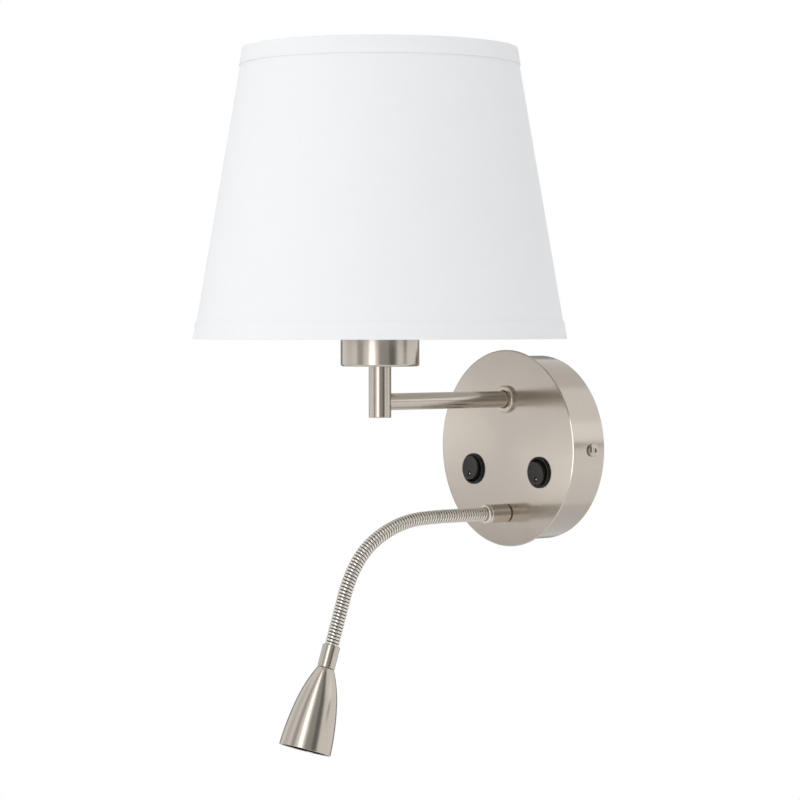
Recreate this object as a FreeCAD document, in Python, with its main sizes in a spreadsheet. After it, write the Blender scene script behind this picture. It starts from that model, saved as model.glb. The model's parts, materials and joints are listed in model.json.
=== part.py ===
import FreeCAD, Part
import math
import os
import re

import Sketcher
from FreeCAD import Placement, Rotation, Vector

# Wall reading lamp: a round canopy carries a short arm with a shaded lampholder
# and, below it, a bendable neck with a small spotlight.
# Millimetres. +Z is up, the wall is the plane y = 0 and the lamp stands out
# towards -Y. The origin is the centre of the canopy's wall face.
SIZES = {
    # canopy
    "base_depth": 35.0,
    "plate_dia": 145.0,
    "plate_thick": 1.5,
    "plate_bevel": 0.4,
    "drum_dia": 136.0,
    "drum_wall": 1.2,
    "drum_lip": 3.0,
    "strap_width": 18.0,
    "strap_thick": 2.0,
    "tab_span": 132.0,
    "tab_depth": 19.0,
    "wall_screw_gap": 88.9,
    "slot_width": 5.0,
    "slot_length": 12.0,
    "wire_hole_dia": 12.0,
    "side_screw_depth": 11.7,
    "side_screw_dia": 5.0,
    "side_screw_head": 9.5,
    "side_screw_dome": 2.6,
    "side_screw_rim": 0.7,
    "side_screw_flat": 5.7,
    "side_screw_stem": 7.0,
    "socket_hex": 3.2,
    "socket_floor": 1.0,
    "earth_side": 24.0,
    "earth_stem_dia": 3.8,
    "earth_head_dia": 7.2,
    "earth_head_high": 2.0,
    "earth_crown": 0.4,
    # gaps and broken edges that recur
    "slip_gap": 0.05,
    "fit_gap": 0.1,
    "hole_play": 0.25,
    "edge_break": 0.5,
    # arm and post
    "arm_height": 36.2,
    "arm_reach": 120.0,
    "rod_dia": 12.0,
    "rod_bore": 7.0,
    "stud_dia": 10.0,
    "stud_length": 13.0,
    "flange_dia": 20.0,
    "flange_thick": 3.0,
    "flange_bevel": 1.0,
    "flange_bore_bevel": 0.8,
    "saddle_deep": 3.0,
    "nut_flats": 14.0,
    "nut_thick": 4.0,
    "nut_bore": 10.02,
    "washer_dia": 18.0,
    "washer_thick": 1.0,
    "washer_bore": 10.4,
    "post_dia": 16.0,
    "post_bore": 10.1,
    "post_low": 25.0,
    "post_floor": 4.0,
    # cup and lampholder
    "cup_low": 61.5,
    "cup_dia": 56.0,
    "cup_height": 24.5,
    "cup_wall": 1.2,
    "cup_round": 1.8,
    "nipple_low": 52.0,
    "nipple_high": 73.0,
    "holder_low": 67.5,
    "holder_base_dia": 44.0,
    "holder_skirt_dia": 38.0,
    "holder_seat": 86.0,
    "holder_high": 118.0,
    "holder_bore": 28.4,
    "holder_floor": 76.0,
    "contact_bore": 26.8,
    "contact_wall": 0.5,
    "contact_rim": 8.0,
    "contact_drop": 5.0,
    "contact_stud_dia": 7.2,
    "contact_tip_dia": 4.4,
    "contact_tip_high": 0.8,
    "ring_dia": 54.0,
    "ring_high": 8.0,
    "ring_edge": 2.5,
    "ring_crown": 3.0,
    "bulb_dia": 60.0,
    "bulb_cap_dia": 26.2,
    "bulb_cap_low": 78.6,
    "bulb_cap_high": 106.0,
    "bulb_high": 188.0,
    "bulb_wall": 0.8,
    "cap_wall": 0.6,
    "cap_tip_dia": 9.0,
    "cap_cone_dia": 12.0,
    "cap_tip_high": 2.0,
    "cap_cone_high": 6.0,
    "glass_tuck": 4.0,
    "glass_neck": 3.0,
    "glass_sweep": 110.0,
    # shade
    "shade_low": 81.0,
    "shade_high": 286.5,
    "shade_low_dia": 265.5,
    "shade_high_dia": 195.0,
    "cloth_thick": 0.6,
    "liner_thick": 0.4,
    "trim_high": 12.2,
    "trim_thick": 0.8,
    "ring_wire": 3.0,
    "ring_lift": 2.0,
    "hub_dia": 56.0,
    "hub_thick": 1.5,
    "spoke_dia": 2.6,
    # switches
    "switch_side": 36.2,
    "switch_drop": 16.5,
    "bezel_dia": 23.0,
    "bezel_high": 1.8,
    "bezel_bore": 19.2,
    "switch_hole": 20.4,
    "switch_body_dia": 20.0,
    "switch_depth": 17.0,
    "rocker_dia": 17.4,
    "rocker_proud": 4.2,
    "rocker_pivot": 4.0,
    "rocker_tilt": 6.0,
    "rocker_pin_dia": 2.4,
    "rocker_pin_length": 18.4,
    "rocker_disc": 5.2,
    "rocker_bevel": 0.6,
    "rocker_stem_width": 14.4,
    "rocker_stem_thick": 4.0,
    "rocker_stem_below": 1.6,
    "bezel_bevel": 0.8,
    "bezel_lip": 0.3,
    "bezel_step": 2.2,
    "well_dia": 16.0,
    "well_below": 5.0,
    "blade_width": 4.8,
    "blade_thick": 0.8,
    "blade_length": 7.0,
    "blade_gap": 10.0,
    "dot_dia": 2.6,
    "dot_lift": 0.7,
    # bendable neck and spotlight
    "neck_drop": 47.8,
    "neck_dia": 10.0,
    "neck_bore": 5.0,
    "fitting_dia": 13.8,
    "fitting_length": 21.5,
    "fitting_groove": 6.0,
    "fitting_floor": 4.0,
    "fitting_round": 0.8,
    "fitting_bevel": 0.4,
    "groove_deep": 0.35,
    "neck_tuck": 15.0,
    "neck_lead": 12.0,
    "link_length": 23.7,
    "neck_tail": 11.7,
    "pivot_gap": 0.3,
    "collar_dia": 12.4,
    "collar_length": 16.1,
    "head_length": 59.2,
    "head_root_dia": 12.0,
    "head_waist_dia": 28.0,
    "head_waist": 23.0,
    "head_mouth_dia": 37.0,
    "head_wall": 1.2,
    "head_floor": 5.0,
    "head_floor_dia": 11.6,
    "head_root_arc": 100.0,
    "head_mouth_arc": 200.0,
    "sink_start": 23.4,
    "sink_dia": 24.8,
    "sink_bore": 3.0,
    "board_start": 33.0,
    "board_thick": 1.6,
    "chip_dia": 5.2,
    "chip_tip_dia": 4.8,
    "chip_thick": 0.8,
    "reflector_root_dia": 8.0,
    "reflector_mouth_dia": 32.8,
    "reflector_wall": 0.8,
    "lens_start": 53.0,
    "lens_dia": 33.2,
    "lens_thick": 2.0,
    "lens_crown": 0.6,
    "lens_ring_start": 55.1,
    "lens_ring_high": 2.3,
    "lens_ring_dia": 33.8,
    "lens_ring_bore": 30.0,
    "lens_ring_mouth": 31.2,
    # driver, terminal block and wires
    "driver_width": 40.0,
    "driver_high": 24.0,
    "driver_deep": 16.0,
    "driver_drop": 38.0,
    "driver_round": 2.0,
    "block_width": 30.0,
    "block_high": 16.0,
    "block_deep": 14.0,
    "block_low": 2.0,
    "terminal_gap": 10.0,
    "terminal_bore": 4.0,
    "terminal_deep": 8.0,
    "wire_dia": 2.2,
    "pair_gap": 3.0,
}

# How far the resting neck turns down over each of its links, in degrees.
LINK_TURNS = [0.0, 3.0, 14.5, 15.5, 23.5, 15.0, 0.0]

# The largest turns of a wire: inside the arm and post, and loose in the canopy.
TIGHT_BEND = 4.5
LOOSE_BEND = 20.0

doc = FreeCAD.newDocument("wall_reading_lamp")
pieces = []


def make_sheet():
    """Write every driving size into a spreadsheet, one alias a row."""
    sheet = doc.addObject("Spreadsheet::Sheet", "Sizes")
    for row, (name, value) in enumerate(SIZES.items(), 1):
        sheet.set(f"A{row}", name)
        sheet.set(f"B{row}", str(value))
        sheet.setAlias(f"B{row}", name)
    doc.recompute()
    return sheet


SHEET = make_sheet()


def formula(text):
    """Turn words such as cup_dia / 2 into an expression on the sheet's cells."""

    def cell(match):
        word = match.group()
        return f"Sizes.{word}" if word in SIZES else word

    return re.sub(r"[a-z_]+", cell, str(text))


def size(text):
    """The number that a formula on the sheet gives."""
    return float(SHEET.evalExpression(formula(text)))


def bind(thing, **formulas):
    """Bind properties of a document object to formulas on the sheet."""
    for name, text in formulas.items():
        thing.setExpression(name, formula(text))


def keep(thing, label):
    """Name a finished sub-part and put it on the list of those written out."""
    thing.Label = label
    pieces.append(thing)
    return thing


# ---- places -----------------------------------------------------------------

def off_wall(x=0.0, z=0.0, out=0.0):
    """A frame on the wall whose own +Z points out of it and +Y points up."""
    return Placement(Vector(x, -out, z), Rotation(Vector(1, 0, 0), 90))


def upright(height=0.0):
    """A frame on the post's axis whose own +Z points up."""
    return Placement(Vector(0, -size("base_depth + arm_reach"), height), Rotation())


# ---- sketches and bodies ------------------------------------------------------

def origin_plane(body, role):
    """One of a body's own origin planes, found by its role."""
    return next(f for f in body.Origin.OriginFeatures if f.Role == role)


def new_body(name):
    """An empty body whose internal name follows its label."""
    return doc.addObject("PartDesign::Body", name)


def new_sketch(body, name, role):
    """A sketch on one of a body's origin planes."""
    sketch = body.newObject("Sketcher::SketchObject", name)
    sketch.AttachmentSupport = (origin_plane(body, role), [""])
    sketch.MapMode = "FlatFace"
    return sketch


def pin(sketch, edge, end, across, up):
    """Hold one end of an edge at two formulas from the sketch's origin."""
    for text, kind, axis in ((across, "DistanceX", -2), (up, "DistanceY", -1)):
        value = size(text)
        if str(text) == "0":
            sketch.addConstraint(Sketcher.Constraint("PointOnObject", edge, end, axis))
            continue
        index = sketch.addConstraint(Sketcher.Constraint(kind, -1, 1, edge, end, value))
        sketch.setExpression(f"Constraints[{index}]", formula(text))


def arc_between(start, finish, radius, side):
    """An arc from start to finish, its centre on the left if side is 1."""
    chord = finish - start
    reach = math.sqrt(radius**2 - (chord.Length / 2) ** 2)
    left = Vector(-chord.y, chord.x, 0).normalize()
    centre = (start + finish) / 2 + left * reach * side
    circle = Part.Circle(centre, Vector(0, 0, 1), radius)
    first, last = (start, finish) if side > 0 else (finish, start)
    angles = [math.atan2(p.y - centre.y, p.x - centre.x) for p in (first, last)]
    return Part.ArcOfCircle(circle, *angles)


def draw_outline(sketch, corners):
    """Draw a closed outline.

    Each corner is (across, up), or (across, up, radius, side) where an arc of
    that radius leaves it, with its centre to the left (1) or right (-1).
    """
    points = [Vector(size(c[0]), size(c[1]), 0) for c in corners]
    starts = []
    ends = []
    for index, corner in enumerate(corners):
        start = points[index]
        finish = points[(index + 1) % len(points)]
        if len(corner) == 2:
            sketch.addGeometry(Part.LineSegment(start, finish), False)
            starts.append(1)
            ends.append(2)
            continue
        radius, side = corner[2], corner[3]
        sketch.addGeometry(arc_between(start, finish, size(radius), side), False)
        starts.append(1 if side > 0 else 2)
        ends.append(2 if side > 0 else 1)
        bound = sketch.addConstraint(Sketcher.Constraint("Radius", index, size(radius)))
        sketch.setExpression(f"Constraints[{bound}]", formula(radius))
    for index, corner in enumerate(corners):
        before = index - 1 if index else len(corners) - 1
        joined = ("Coincident", before, ends[before], index, starts[index])
        sketch.addConstraint(Sketcher.Constraint(*joined))
        pin(sketch, index, starts[index], corner[0], corner[1])


def draw_circles(sketch, circles):
    """Draw circles, each (across, up, radius)."""
    for edge, (across, up, radius) in enumerate(circles):
        centre = Vector(size(across), size(up), 0)
        sketch.addGeometry(Part.Circle(centre, Vector(0, 0, 1), size(radius)), False)
        index = sketch.addConstraint(Sketcher.Constraint("Radius", edge, size(radius)))
        sketch.setExpression(f"Constraints[{index}]", formula(radius))
        pin(sketch, edge, 3, across, up)


def turned(name, corners):
    """A body turned from an outline of (radius, height) corners about its Z."""
    body = new_body(name)
    sketch = new_sketch(body, f"{name}_outline", "XZ_Plane")
    draw_outline(sketch, corners)
    turn = body.newObject("PartDesign::Revolution", f"{name}_turn")
    turn.Profile = sketch
    turn.ReferenceAxis = (sketch, ["V_Axis"])
    turn.Angle = 360
    body.Tip = turn
    doc.recompute()
    return keep(body, name)


def pierce(body, role, draw, shapes):
    """Cut sketched shapes right through a body, both ways from a plane."""
    number = len(body.Group)
    before = body.Shape.Volume
    sketch = new_sketch(body, f"{body.Name}_cut{number}", role)
    draw(sketch, shapes)
    pocket = body.newObject("PartDesign::Pocket", f"{body.Name}_pocket{number}")
    pocket.Profile = sketch
    pocket.Type = "ThroughAll"
    pocket.Midplane = True
    body.Tip = pocket
    doc.recompute()
    if body.Shape.Volume > before - 0.5:
        raise RuntimeError(f"{body.Label}: the cut removed nothing")


def bevel(body, pick, width):
    """Chamfer the edges of a body's tip that pick chooses."""
    tip = body.Tip
    edges = [f"Edge{i + 1}" for i, e in enumerate(tip.Shape.Edges) if pick(e)]
    cut = body.newObject("PartDesign::Chamfer", f"{body.Name}_bevel")
    cut.Base = (tip, edges)
    bind(cut, Size=width)
    body.Tip = cut
    doc.recompute()


def rim_at(radius, height):
    """A test for the round edge of a given radius and height on a turned body."""

    def found(edge):
        curve = edge.Curve
        if not isinstance(curve, Part.Circle):
            return False
        near_radius = abs(curve.Radius - size(radius)) < 0.01
        return near_radius and abs(curve.Center.z - size(height)) < 0.01

    return found


# ---- primitives ---------------------------------------------------------------

def primitive(kind, name, place, **formulas):
    """A Part primitive with its sizes bound to the sheet."""
    thing = doc.addObject(f"Part::{kind}", name)
    bind(thing, **formulas)
    thing.Placement = place
    return thing


def joined(name, things):
    """The union of several objects."""
    fuse = doc.addObject("Part::MultiFuse", name)
    fuse.Shapes = things
    return fuse


def less(name, base, tool):
    """One object with another taken out of it."""
    cut = doc.addObject("Part::Cut", name)
    cut.Base = base
    cut.Tool = tool
    return cut


def shifted(place, x=0.0, y=0.0, z=0.0):
    """A place moved along its own axes."""
    return place.multiply(Placement(Vector(x, y, z), Rotation()))


def cylinder(name, place, dia, height):
    """A round bar along the place's +Z."""
    return primitive("Cylinder", name, place, Radius=f"({dia}) / 2", Height=height)


def hex_nut(name, place):
    """A plain hexagonal nut standing on a place."""
    prism = primitive("Prism", f"{name}_hex", place, Height="nut_thick",
                      Circumradius="nut_flats / sqrt(3)")
    prism.Polygon = 6
    hole = cylinder(f"{name}_hole", place, "nut_bore", "nut_thick")
    return keep(less(name, prism, hole), name)


# ---- canopy -------------------------------------------------------------------

def wall_bracket():
    """Steel strap screwed to the wall, its ends bent out to take the side screws."""
    body = new_body("wall_bracket")
    sketch = new_sketch(body, "wall_bracket_outline", "XZ_Plane")
    outer = "tab_span / 2"
    inner = "tab_span / 2 - strap_thick"
    draw_outline(sketch, [
        (f"-({outer})", "0"), (outer, "0"), (outer, "tab_depth"), (inner, "tab_depth"),
        (inner, "strap_thick"), (f"-({inner})", "strap_thick"),
        (f"-({inner})", "tab_depth"), (f"-({outer})", "tab_depth"),
    ])
    pad = body.newObject("PartDesign::Pad", "wall_bracket_pad")
    pad.Profile = sketch
    pad.Midplane = True
    bind(pad, Length="strap_width")
    body.Tip = pad
    doc.recompute()
    pierce(body, "XY_Plane", draw_circles, [("0", "0", "wire_hole_dia / 2")])
    half = "(slot_length - slot_width) / 2"
    edge = "slot_width / 2"
    for side in ("1", "-1"):
        low = f"{side} * wall_screw_gap / 2 - {half}"
        high = f"{side} * wall_screw_gap / 2 + {half}"
        pierce(body, "XY_Plane", draw_circles, [(low, "0", edge), (high, "0", edge)])
        corners = [(low, f"-{edge}"), (high, f"-{edge}"), (high, edge), (low, edge)]
        pierce(body, "XY_Plane", draw_outline, corners)
    earth_hole = ("earth_side", "0", "earth_stem_dia / 2 + fit_gap")
    pierce(body, "XY_Plane", draw_circles, [earth_hole])
    pierce(body, "YZ_Plane", draw_circles, [("0", "side_screw_depth", "side_screw_dia / 2")])
    body.Placement = off_wall()
    keep(body, "wall_bracket")


def canopy_drum():
    """Open-backed drum with a turned-in lip that the front plate is welded to."""
    radius = "drum_dia / 2"
    lip = "base_depth - plate_thick"
    body = turned("canopy_drum", [
        (f"{radius} - drum_wall", "0"), (radius, "0"), (radius, lip),
        (f"{radius} - drum_lip", lip), (f"{radius} - drum_lip", f"{lip} - drum_wall"),
        (f"{radius} - drum_wall", f"{lip} - drum_wall"),
    ])
    screw = ("0", "side_screw_depth", "side_screw_dia / 2 + hole_play")
    pierce(body, "YZ_Plane", draw_circles, [screw])
    body.Placement = off_wall()


def front_plate():
    """Round face plate with holes for the arm, the neck and both switches."""
    body = new_body("front_plate")
    sketch = new_sketch(body, "front_plate_outline", "XY_Plane")
    switch_radius = "switch_hole / 2"
    draw_circles(sketch, [
        ("0", "0", "plate_dia / 2"),
        ("0", "arm_height", "stud_dia / 2 + fit_gap"),
        ("0", "-neck_drop", "stud_dia / 2 + fit_gap"),
        ("switch_side", "-switch_drop", switch_radius),
        ("-switch_side", "-switch_drop", switch_radius),
    ])
    pad = body.newObject("PartDesign::Pad", "front_plate_pad")
    pad.Profile = sketch
    bind(pad, Length="plate_thick")
    body.Tip = pad
    doc.recompute()
    bevel(body, rim_at("plate_dia / 2", "plate_thick"), "plate_bevel")
    body.Placement = off_wall(out=size("base_depth - plate_thick"))
    keep(body, "front_plate")


def side_screw(name, side):
    """One button-head screw through the drum into the bracket's bent end."""
    head = turned(f"{name}_head", [
        ("0", "0"), ("side_screw_head / 2", "0"), ("side_screw_head / 2", "side_screw_rim"),
        ("side_screw_flat / 2", "side_screw_dome"), ("0", "side_screw_dome"),
    ])
    pieces.remove(head)
    below = Placement(Vector(0, 0, -size("side_screw_stem")), Rotation())
    stem = cylinder(f"{name}_stem", below, "side_screw_dia - fit_gap", "side_screw_stem")
    floor = Placement(Vector(0, 0, size("socket_floor")), Rotation())
    hexagon = primitive("Prism", f"{name}_hex", floor, Height="side_screw_dome",
                        Circumradius="socket_hex / sqrt(3)")
    hexagon.Polygon = 6
    screw = less(name, joined(f"{name}_blank", [head, stem]), hexagon)
    turn = Rotation(Vector(0, 1, 0), 90 * side)
    seat = size("drum_dia / 2") * side
    screw.Placement = Placement(Vector(seat, -size("side_screw_depth"), 0), turn)
    return screw


def side_screws():
    """The two screws, one on each side, as a group of separate solids."""
    pair = doc.addObject("Part::Compound", "side_screws")
    pair.Links = [side_screw("side_screw_right", 1), side_screw("side_screw_left", -1)]
    keep(pair, "side_screws")


def round_hardware():
    """The nuts and washers that clamp the arm and the neck behind the plate."""
    back = size("base_depth - plate_thick")
    for name, height in (("arm", size("arm_height")), ("neck", -size("neck_drop"))):
        place = off_wall(z=height, out=back - size("washer_thick"))
        disc = cylinder(f"{name}_washer_disc", place, "washer_dia", "washer_thick")
        hole = cylinder(f"{name}_washer_hole", place, "washer_bore", "washer_thick")
        keep(less(f"{name}_washer", disc, hole), f"{name}_washer")
        below = shifted(place, z=-size("nut_thick"))
        hex_nut(f"{name}_lock_nut", below)


# ---- arm and post -------------------------------------------------------------

def arm():
    """The tube from the plate to the post, with its flange ring at the plate."""
    stud_start = "base_depth - stud_length"
    stud_radius = "stud_dia / 2"
    tip = "base_depth + arm_reach - post_dia / 2 + saddle_deep"
    rod = turned("arm_rod", [
        ("rod_bore / 2", stud_start), (stud_radius, stud_start), (stud_radius, "base_depth"),
        ("rod_dia / 2", "base_depth"), ("rod_dia / 2", tip), ("rod_bore / 2", tip),
    ])
    pieces.remove(rod)
    rod.Label = "arm_rod_blank"
    rod.Placement = off_wall(z=size("arm_height"))
    saddle = cylinder("arm_rod_saddle", upright(), "post_dia", "cup_low")
    keep(less("arm_rod", rod, saddle), "arm_rod")
    inner = "rod_dia / 2 + slip_gap"
    outer = "flange_dia / 2"
    flange = turned("arm_flange", [
        (inner, "0"), (outer, "0"), (outer, "flange_thick - flange_bevel"),
        (f"{outer} - flange_bevel", "flange_thick"),
        (f"{inner} + flange_bore_bevel", "flange_thick"),
        (inner, "flange_thick - flange_bore_bevel"),
    ])
    flange.Placement = off_wall(z=size("arm_height"), out=size("base_depth"))


def post():
    """Upright tube with a solid floor and a side hole where the arm's wires enter."""
    radius = "post_dia / 2"
    body = turned("post_tube", [
        ("0", "post_low"), (f"{radius} - edge_break", "post_low"),
        (radius, "post_low + edge_break"),
        (radius, "cup_low"), ("post_bore / 2", "cup_low"),
        ("post_bore / 2", "post_low + post_floor"), ("0", "post_low + post_floor"),
    ])
    pieces.remove(body)
    body.Label = "post_blank"
    body.Placement = upright()
    near_post = off_wall(z=size("arm_height"), out=size("base_depth + arm_reach - post_dia"))
    entry = cylinder("post_entry", near_post, "rod_bore", "post_dia")
    keep(less("post_tube", body, entry), "post_tube")


def cup_and_nipple():
    """The cup under the lampholder and the threaded pipe through its floor."""
    radius = "cup_dia / 2"
    cup = turned("socket_cup", [
        ("stud_dia / 2 + fit_gap", "0"), (f"{radius} - cup_round", "0", "cup_round", 1),
        (radius, "cup_round"), (radius, "cup_height"), (f"{radius} - cup_wall", "cup_height"),
        (f"{radius} - cup_wall", "cup_wall"), ("stud_dia / 2 + fit_gap", "cup_wall"),
    ])
    cup.Placement = upright(size("cup_low"))
    nipple = turned("threaded_nipple", [
        ("rod_bore / 2", "nipple_low"), ("stud_dia / 2", "nipple_low"),
        ("stud_dia / 2", "nipple_high"), ("rod_bore / 2", "nipple_high"),
    ])
    nipple.Placement = upright()
    hex_nut("cup_nut", upright(size("cup_low + cup_wall")))


# ---- lampholder and bulb ------------------------------------------------------

def lampholder():
    """Insulating holder, its brass contacts and the ring that clamps the shade."""
    bore = "holder_bore / 2"
    stem = "stud_dia / 2 + slip_gap"
    body = turned("lampholder_body", [
        (stem, "holder_low"), ("holder_base_dia / 2", "holder_low"),
        ("holder_base_dia / 2", "holder_seat"), ("holder_skirt_dia / 2", "holder_seat"),
        ("holder_skirt_dia / 2", "holder_high"), (bore, "holder_high"),
        (bore, "holder_floor"), (stem, "holder_floor"),
    ])
    body.Placement = upright()
    wall = "contact_bore / 2 + contact_wall"
    rim = "holder_high - contact_drop"
    shell = turned("contact_shell", [
        (f"{wall} - contact_rim", "holder_floor"), (wall, "holder_floor"), (wall, rim),
        ("contact_bore / 2", rim), ("contact_bore / 2", "holder_floor + contact_wall"),
        (f"{wall} - contact_rim", "holder_floor + contact_wall"),
    ])
    shell.Placement = upright()
    foot = "nipple_high + edge_break"
    contact = turned("centre_contact", [
        ("0", foot), ("contact_stud_dia / 2", foot),
        ("contact_stud_dia / 2", "bulb_cap_low - contact_tip_high"),
        ("contact_tip_dia / 2", "bulb_cap_low"), ("0", "bulb_cap_low"),
    ])
    contact.Placement = upright()
    seat = "holder_seat + hub_thick"
    skirt = "holder_skirt_dia / 2"
    ring = turned("shade_clamp_ring", [
        (f"{skirt} + fit_gap", seat), ("ring_dia / 2", seat),
        ("ring_dia / 2", f"{seat} + ring_edge"),
        (f"{skirt} + ring_crown", f"{seat} + ring_high"),
        (f"{skirt} + fit_gap", f"{seat} + ring_high"),
    ])
    ring.Placement = upright()


def bulb():
    """Frosted bulb and the metal cap that screws into the contact shell."""
    cap_radius = "bulb_cap_dia / 2"
    cone = "bulb_cap_low + cap_cone_high"
    cap = turned("bulb_cap", [
        ("0", "bulb_cap_low"), ("cap_tip_dia / 2", "bulb_cap_low"),
        ("cap_cone_dia / 2", "bulb_cap_low + cap_tip_high"), (cap_radius, cone),
        (cap_radius, "bulb_cap_high"), (f"{cap_radius} - cap_wall", "bulb_cap_high"),
        (f"{cap_radius} - cap_wall", f"{cone} + cap_wall"),
        ("0", "bulb_cap_low + cap_tip_high + cap_wall"),
    ])
    cap.Placement = upright()
    outer = "bulb_dia / 2"
    inner = f"{outer} - bulb_wall"
    crown = "bulb_high - bulb_dia / 2"
    waist = "bulb_cap_high + glass_neck"
    foot = "bulb_cap_high - glass_tuck"
    throat = "bulb_cap_dia / 2 - cap_wall"
    glass = turned("bulb_glass", [
        (f"{throat} - bulb_wall", foot), (throat, foot), (throat, waist, "glass_sweep", -1),
        (outer, crown, outer, 1), ("0", "bulb_high"), ("0", "bulb_high - bulb_wall", inner, -1),
        (inner, crown, "glass_sweep", 1), (f"{throat} - bulb_wall", waist),
    ])
    glass.Placement = upright()


# ---- shade --------------------------------------------------------------------

SLOPE = "((shade_low_dia - shade_high_dia) / 2 / (shade_high - shade_low))"


def cone_radius(inset, above_low):
    """The shade's outer radius less an inset, at a height above its lower edge."""
    return f"shade_low_dia / 2 - ({above_low}) * {SLOPE} - ({inset})"


def cone_band(name, near, far, low, high):
    """A band of the shade's cone between two insets and two heights above its edge."""
    body = turned(name, [
        (cone_radius(far, low), f"shade_low + {low}"),
        (cone_radius(near, low), f"shade_low + {low}"),
        (cone_radius(near, high), f"shade_low + {high}"),
        (cone_radius(far, high), f"shade_low + {high}"),
    ])
    body.Placement = upright()


def shade():
    """Cloth cone with a stiff lining, edge trims, wire rings and the spider."""
    full = "(shade_high - shade_low)"
    cloth_in = "trim_thick + cloth_thick"
    cone_band("shade_fabric", "trim_thick", cloth_in, "0", full)
    cone_band("shade_liner", cloth_in, f"{cloth_in} + liner_thick", "0", full)
    cone_band("shade_lower_trim", "0", "trim_thick", "0", "trim_high")
    cone_band("shade_upper_trim", "0", "trim_thick", f"({full} - trim_high)", full)
    keep(wire_ring("shade_lower_ring", "ring_lift"), "shade_lower_ring")
    keep(wire_ring("shade_upper_ring", f"({full} - ring_lift)"), "shade_upper_ring")


RING_INSET = "trim_thick + cloth_thick + liner_thick + ring_wire / 2 + slip_gap"


def wire_ring(name, above):
    """A wire ring inside the shade at a height above its lower edge."""
    return primitive("Torus", name, upright(size(f"shade_low + {above}")),
                     Radius1=cone_radius(RING_INSET, above), Radius2="ring_wire / 2")


def shade_spider():
    """Hub plate that sits on the lampholder and three spokes out to the lower ring."""
    seat = size("holder_seat")
    hub = cylinder("hub_disc", upright(seat), "hub_dia", "hub_thick")
    hole = cylinder("hub_hole", upright(seat), "holder_skirt_dia + 2 * fit_gap", "hub_thick")
    keep(less("shade_hub", hub, hole), "shade_hub")
    start = Vector(size("hub_dia / 2 - ring_lift"), 0, seat + size("spoke_dia / 2 + fit_gap"))
    finish = Vector(size(cone_radius(RING_INSET, "ring_lift")), 0, size("shade_low + ring_lift"))
    run = finish - start
    spokes = []
    for number in range(3):
        around = Rotation(Vector(0, 0, 1), 90 + 120 * number)
        place = Placement(around.multVec(start), around * Rotation(Vector(0, 0, 1), run))
        spoke = primitive("Cylinder", f"spoke_{number + 1}", upright().multiply(place),
                          Radius="spoke_dia / 2")
        spoke.Height = run.Length
        spokes.append(spoke)
    edge = cylinder("spoke_root_cut", upright(seat - size("spoke_dia")), "hub_dia",
                    "hub_thick + 2 * spoke_dia")
    ends = joined("spoke_end_cuts", [edge, wire_ring("spoke_ring_cut", "ring_lift")])
    keep(less("shade_spokes", joined("spoke_blanks", spokes), ends), "shade_spokes")


# ---- switches -----------------------------------------------------------------

def switch(side_name, side):
    """Round rocker switch: a housing clipped into the plate, its blades and rocker."""
    place = off_wall(side * size("switch_side"), -size("switch_drop"), size("base_depth"))
    outer = "bezel_dia / 2"
    barrel = "switch_body_dia / 2"
    bore = "bezel_bore / 2"
    well = "well_dia / 2"
    floor = "-rocker_pivot - well_below"
    name = f"switch_{side_name}"
    housing = turned(f"{name}_housing", [
        ("0", "-switch_depth"), (barrel, "-switch_depth"), (barrel, "0"), (outer, "0"),
        (outer, "bezel_high - bezel_bevel"), (f"{outer} - bezel_bevel", "bezel_high"),
        (f"{bore} + bezel_lip", "bezel_high"), (bore, "bezel_high - bezel_lip"),
        (bore, "-bezel_step"), (well, "-bezel_step"), (well, floor), ("0", floor),
    ])
    pin_hole = ("0", "-rocker_pivot", "rocker_pin_dia / 2 + slip_gap")
    pierce(housing, "YZ_Plane", draw_circles, [pin_hole])
    housing.Placement = place
    below = -size("switch_depth + blade_length")
    blades = []
    for number in (-1, 1):
        across = number * size("blade_gap / 2") - size("blade_thick / 2")
        corner = shifted(place, -size("blade_width / 2"), across, below)
        blades.append(primitive("Box", f"{name}_blade_{number + 1}", corner,
                                Length="blade_width", Width="blade_thick",
                                Height="blade_length"))
    keep(joined(f"{name}_terminals", blades), f"{name}_terminals")
    rocker(name, shifted(place, z=-size("rocker_pivot")), -side)


def rocker(name, pivot, state):
    """The rocker, tipped up (1) or down (-1) about its own pin."""
    tip = Rotation(Vector(1, 0, 0), -state * size("rocker_tilt"))
    tipped = pivot.multiply(Placement(Vector(), tip))
    radius = "rocker_dia / 2"
    face = "rocker_pivot + rocker_proud"
    disc = turned(f"{name}_disc", [
        ("0", f"{face} - rocker_disc"), (radius, f"{face} - rocker_disc"),
        (radius, f"{face} - rocker_bevel"), (f"{radius} - rocker_bevel", face), ("0", face),
    ])
    pieces.remove(disc)
    disc.Placement = tipped
    corner = [-size(text) for text in
              ("rocker_stem_width / 2", "rocker_stem_thick / 2", "rocker_stem_below")]
    stem = primitive("Box", f"{name}_stem", shifted(tipped, *corner),
                     Length="rocker_stem_width", Width="rocker_stem_thick",
                     Height="rocker_pivot + rocker_stem_below")
    across = Placement(Vector(-size("rocker_pin_length") / 2, 0, 0),
                       Rotation(Vector(0, 1, 0), 90))
    pin = cylinder(f"{name}_pin", tipped.multiply(across), "rocker_pin_dia",
                   "rocker_pin_length")
    dot = shifted(tipped, y=-size("rocker_dia / 4"), z=size(f"{face} + dot_lift"))
    dimple = primitive("Sphere", f"{name}_dimple", dot, Radius="dot_dia / 2")
    blank = joined(f"{name}_rocker_blank", [disc, stem, pin])
    keep(less(f"{name}_rocker", blank, dimple), f"{name}_rocker")


# ---- bendable neck ------------------------------------------------------------

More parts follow.
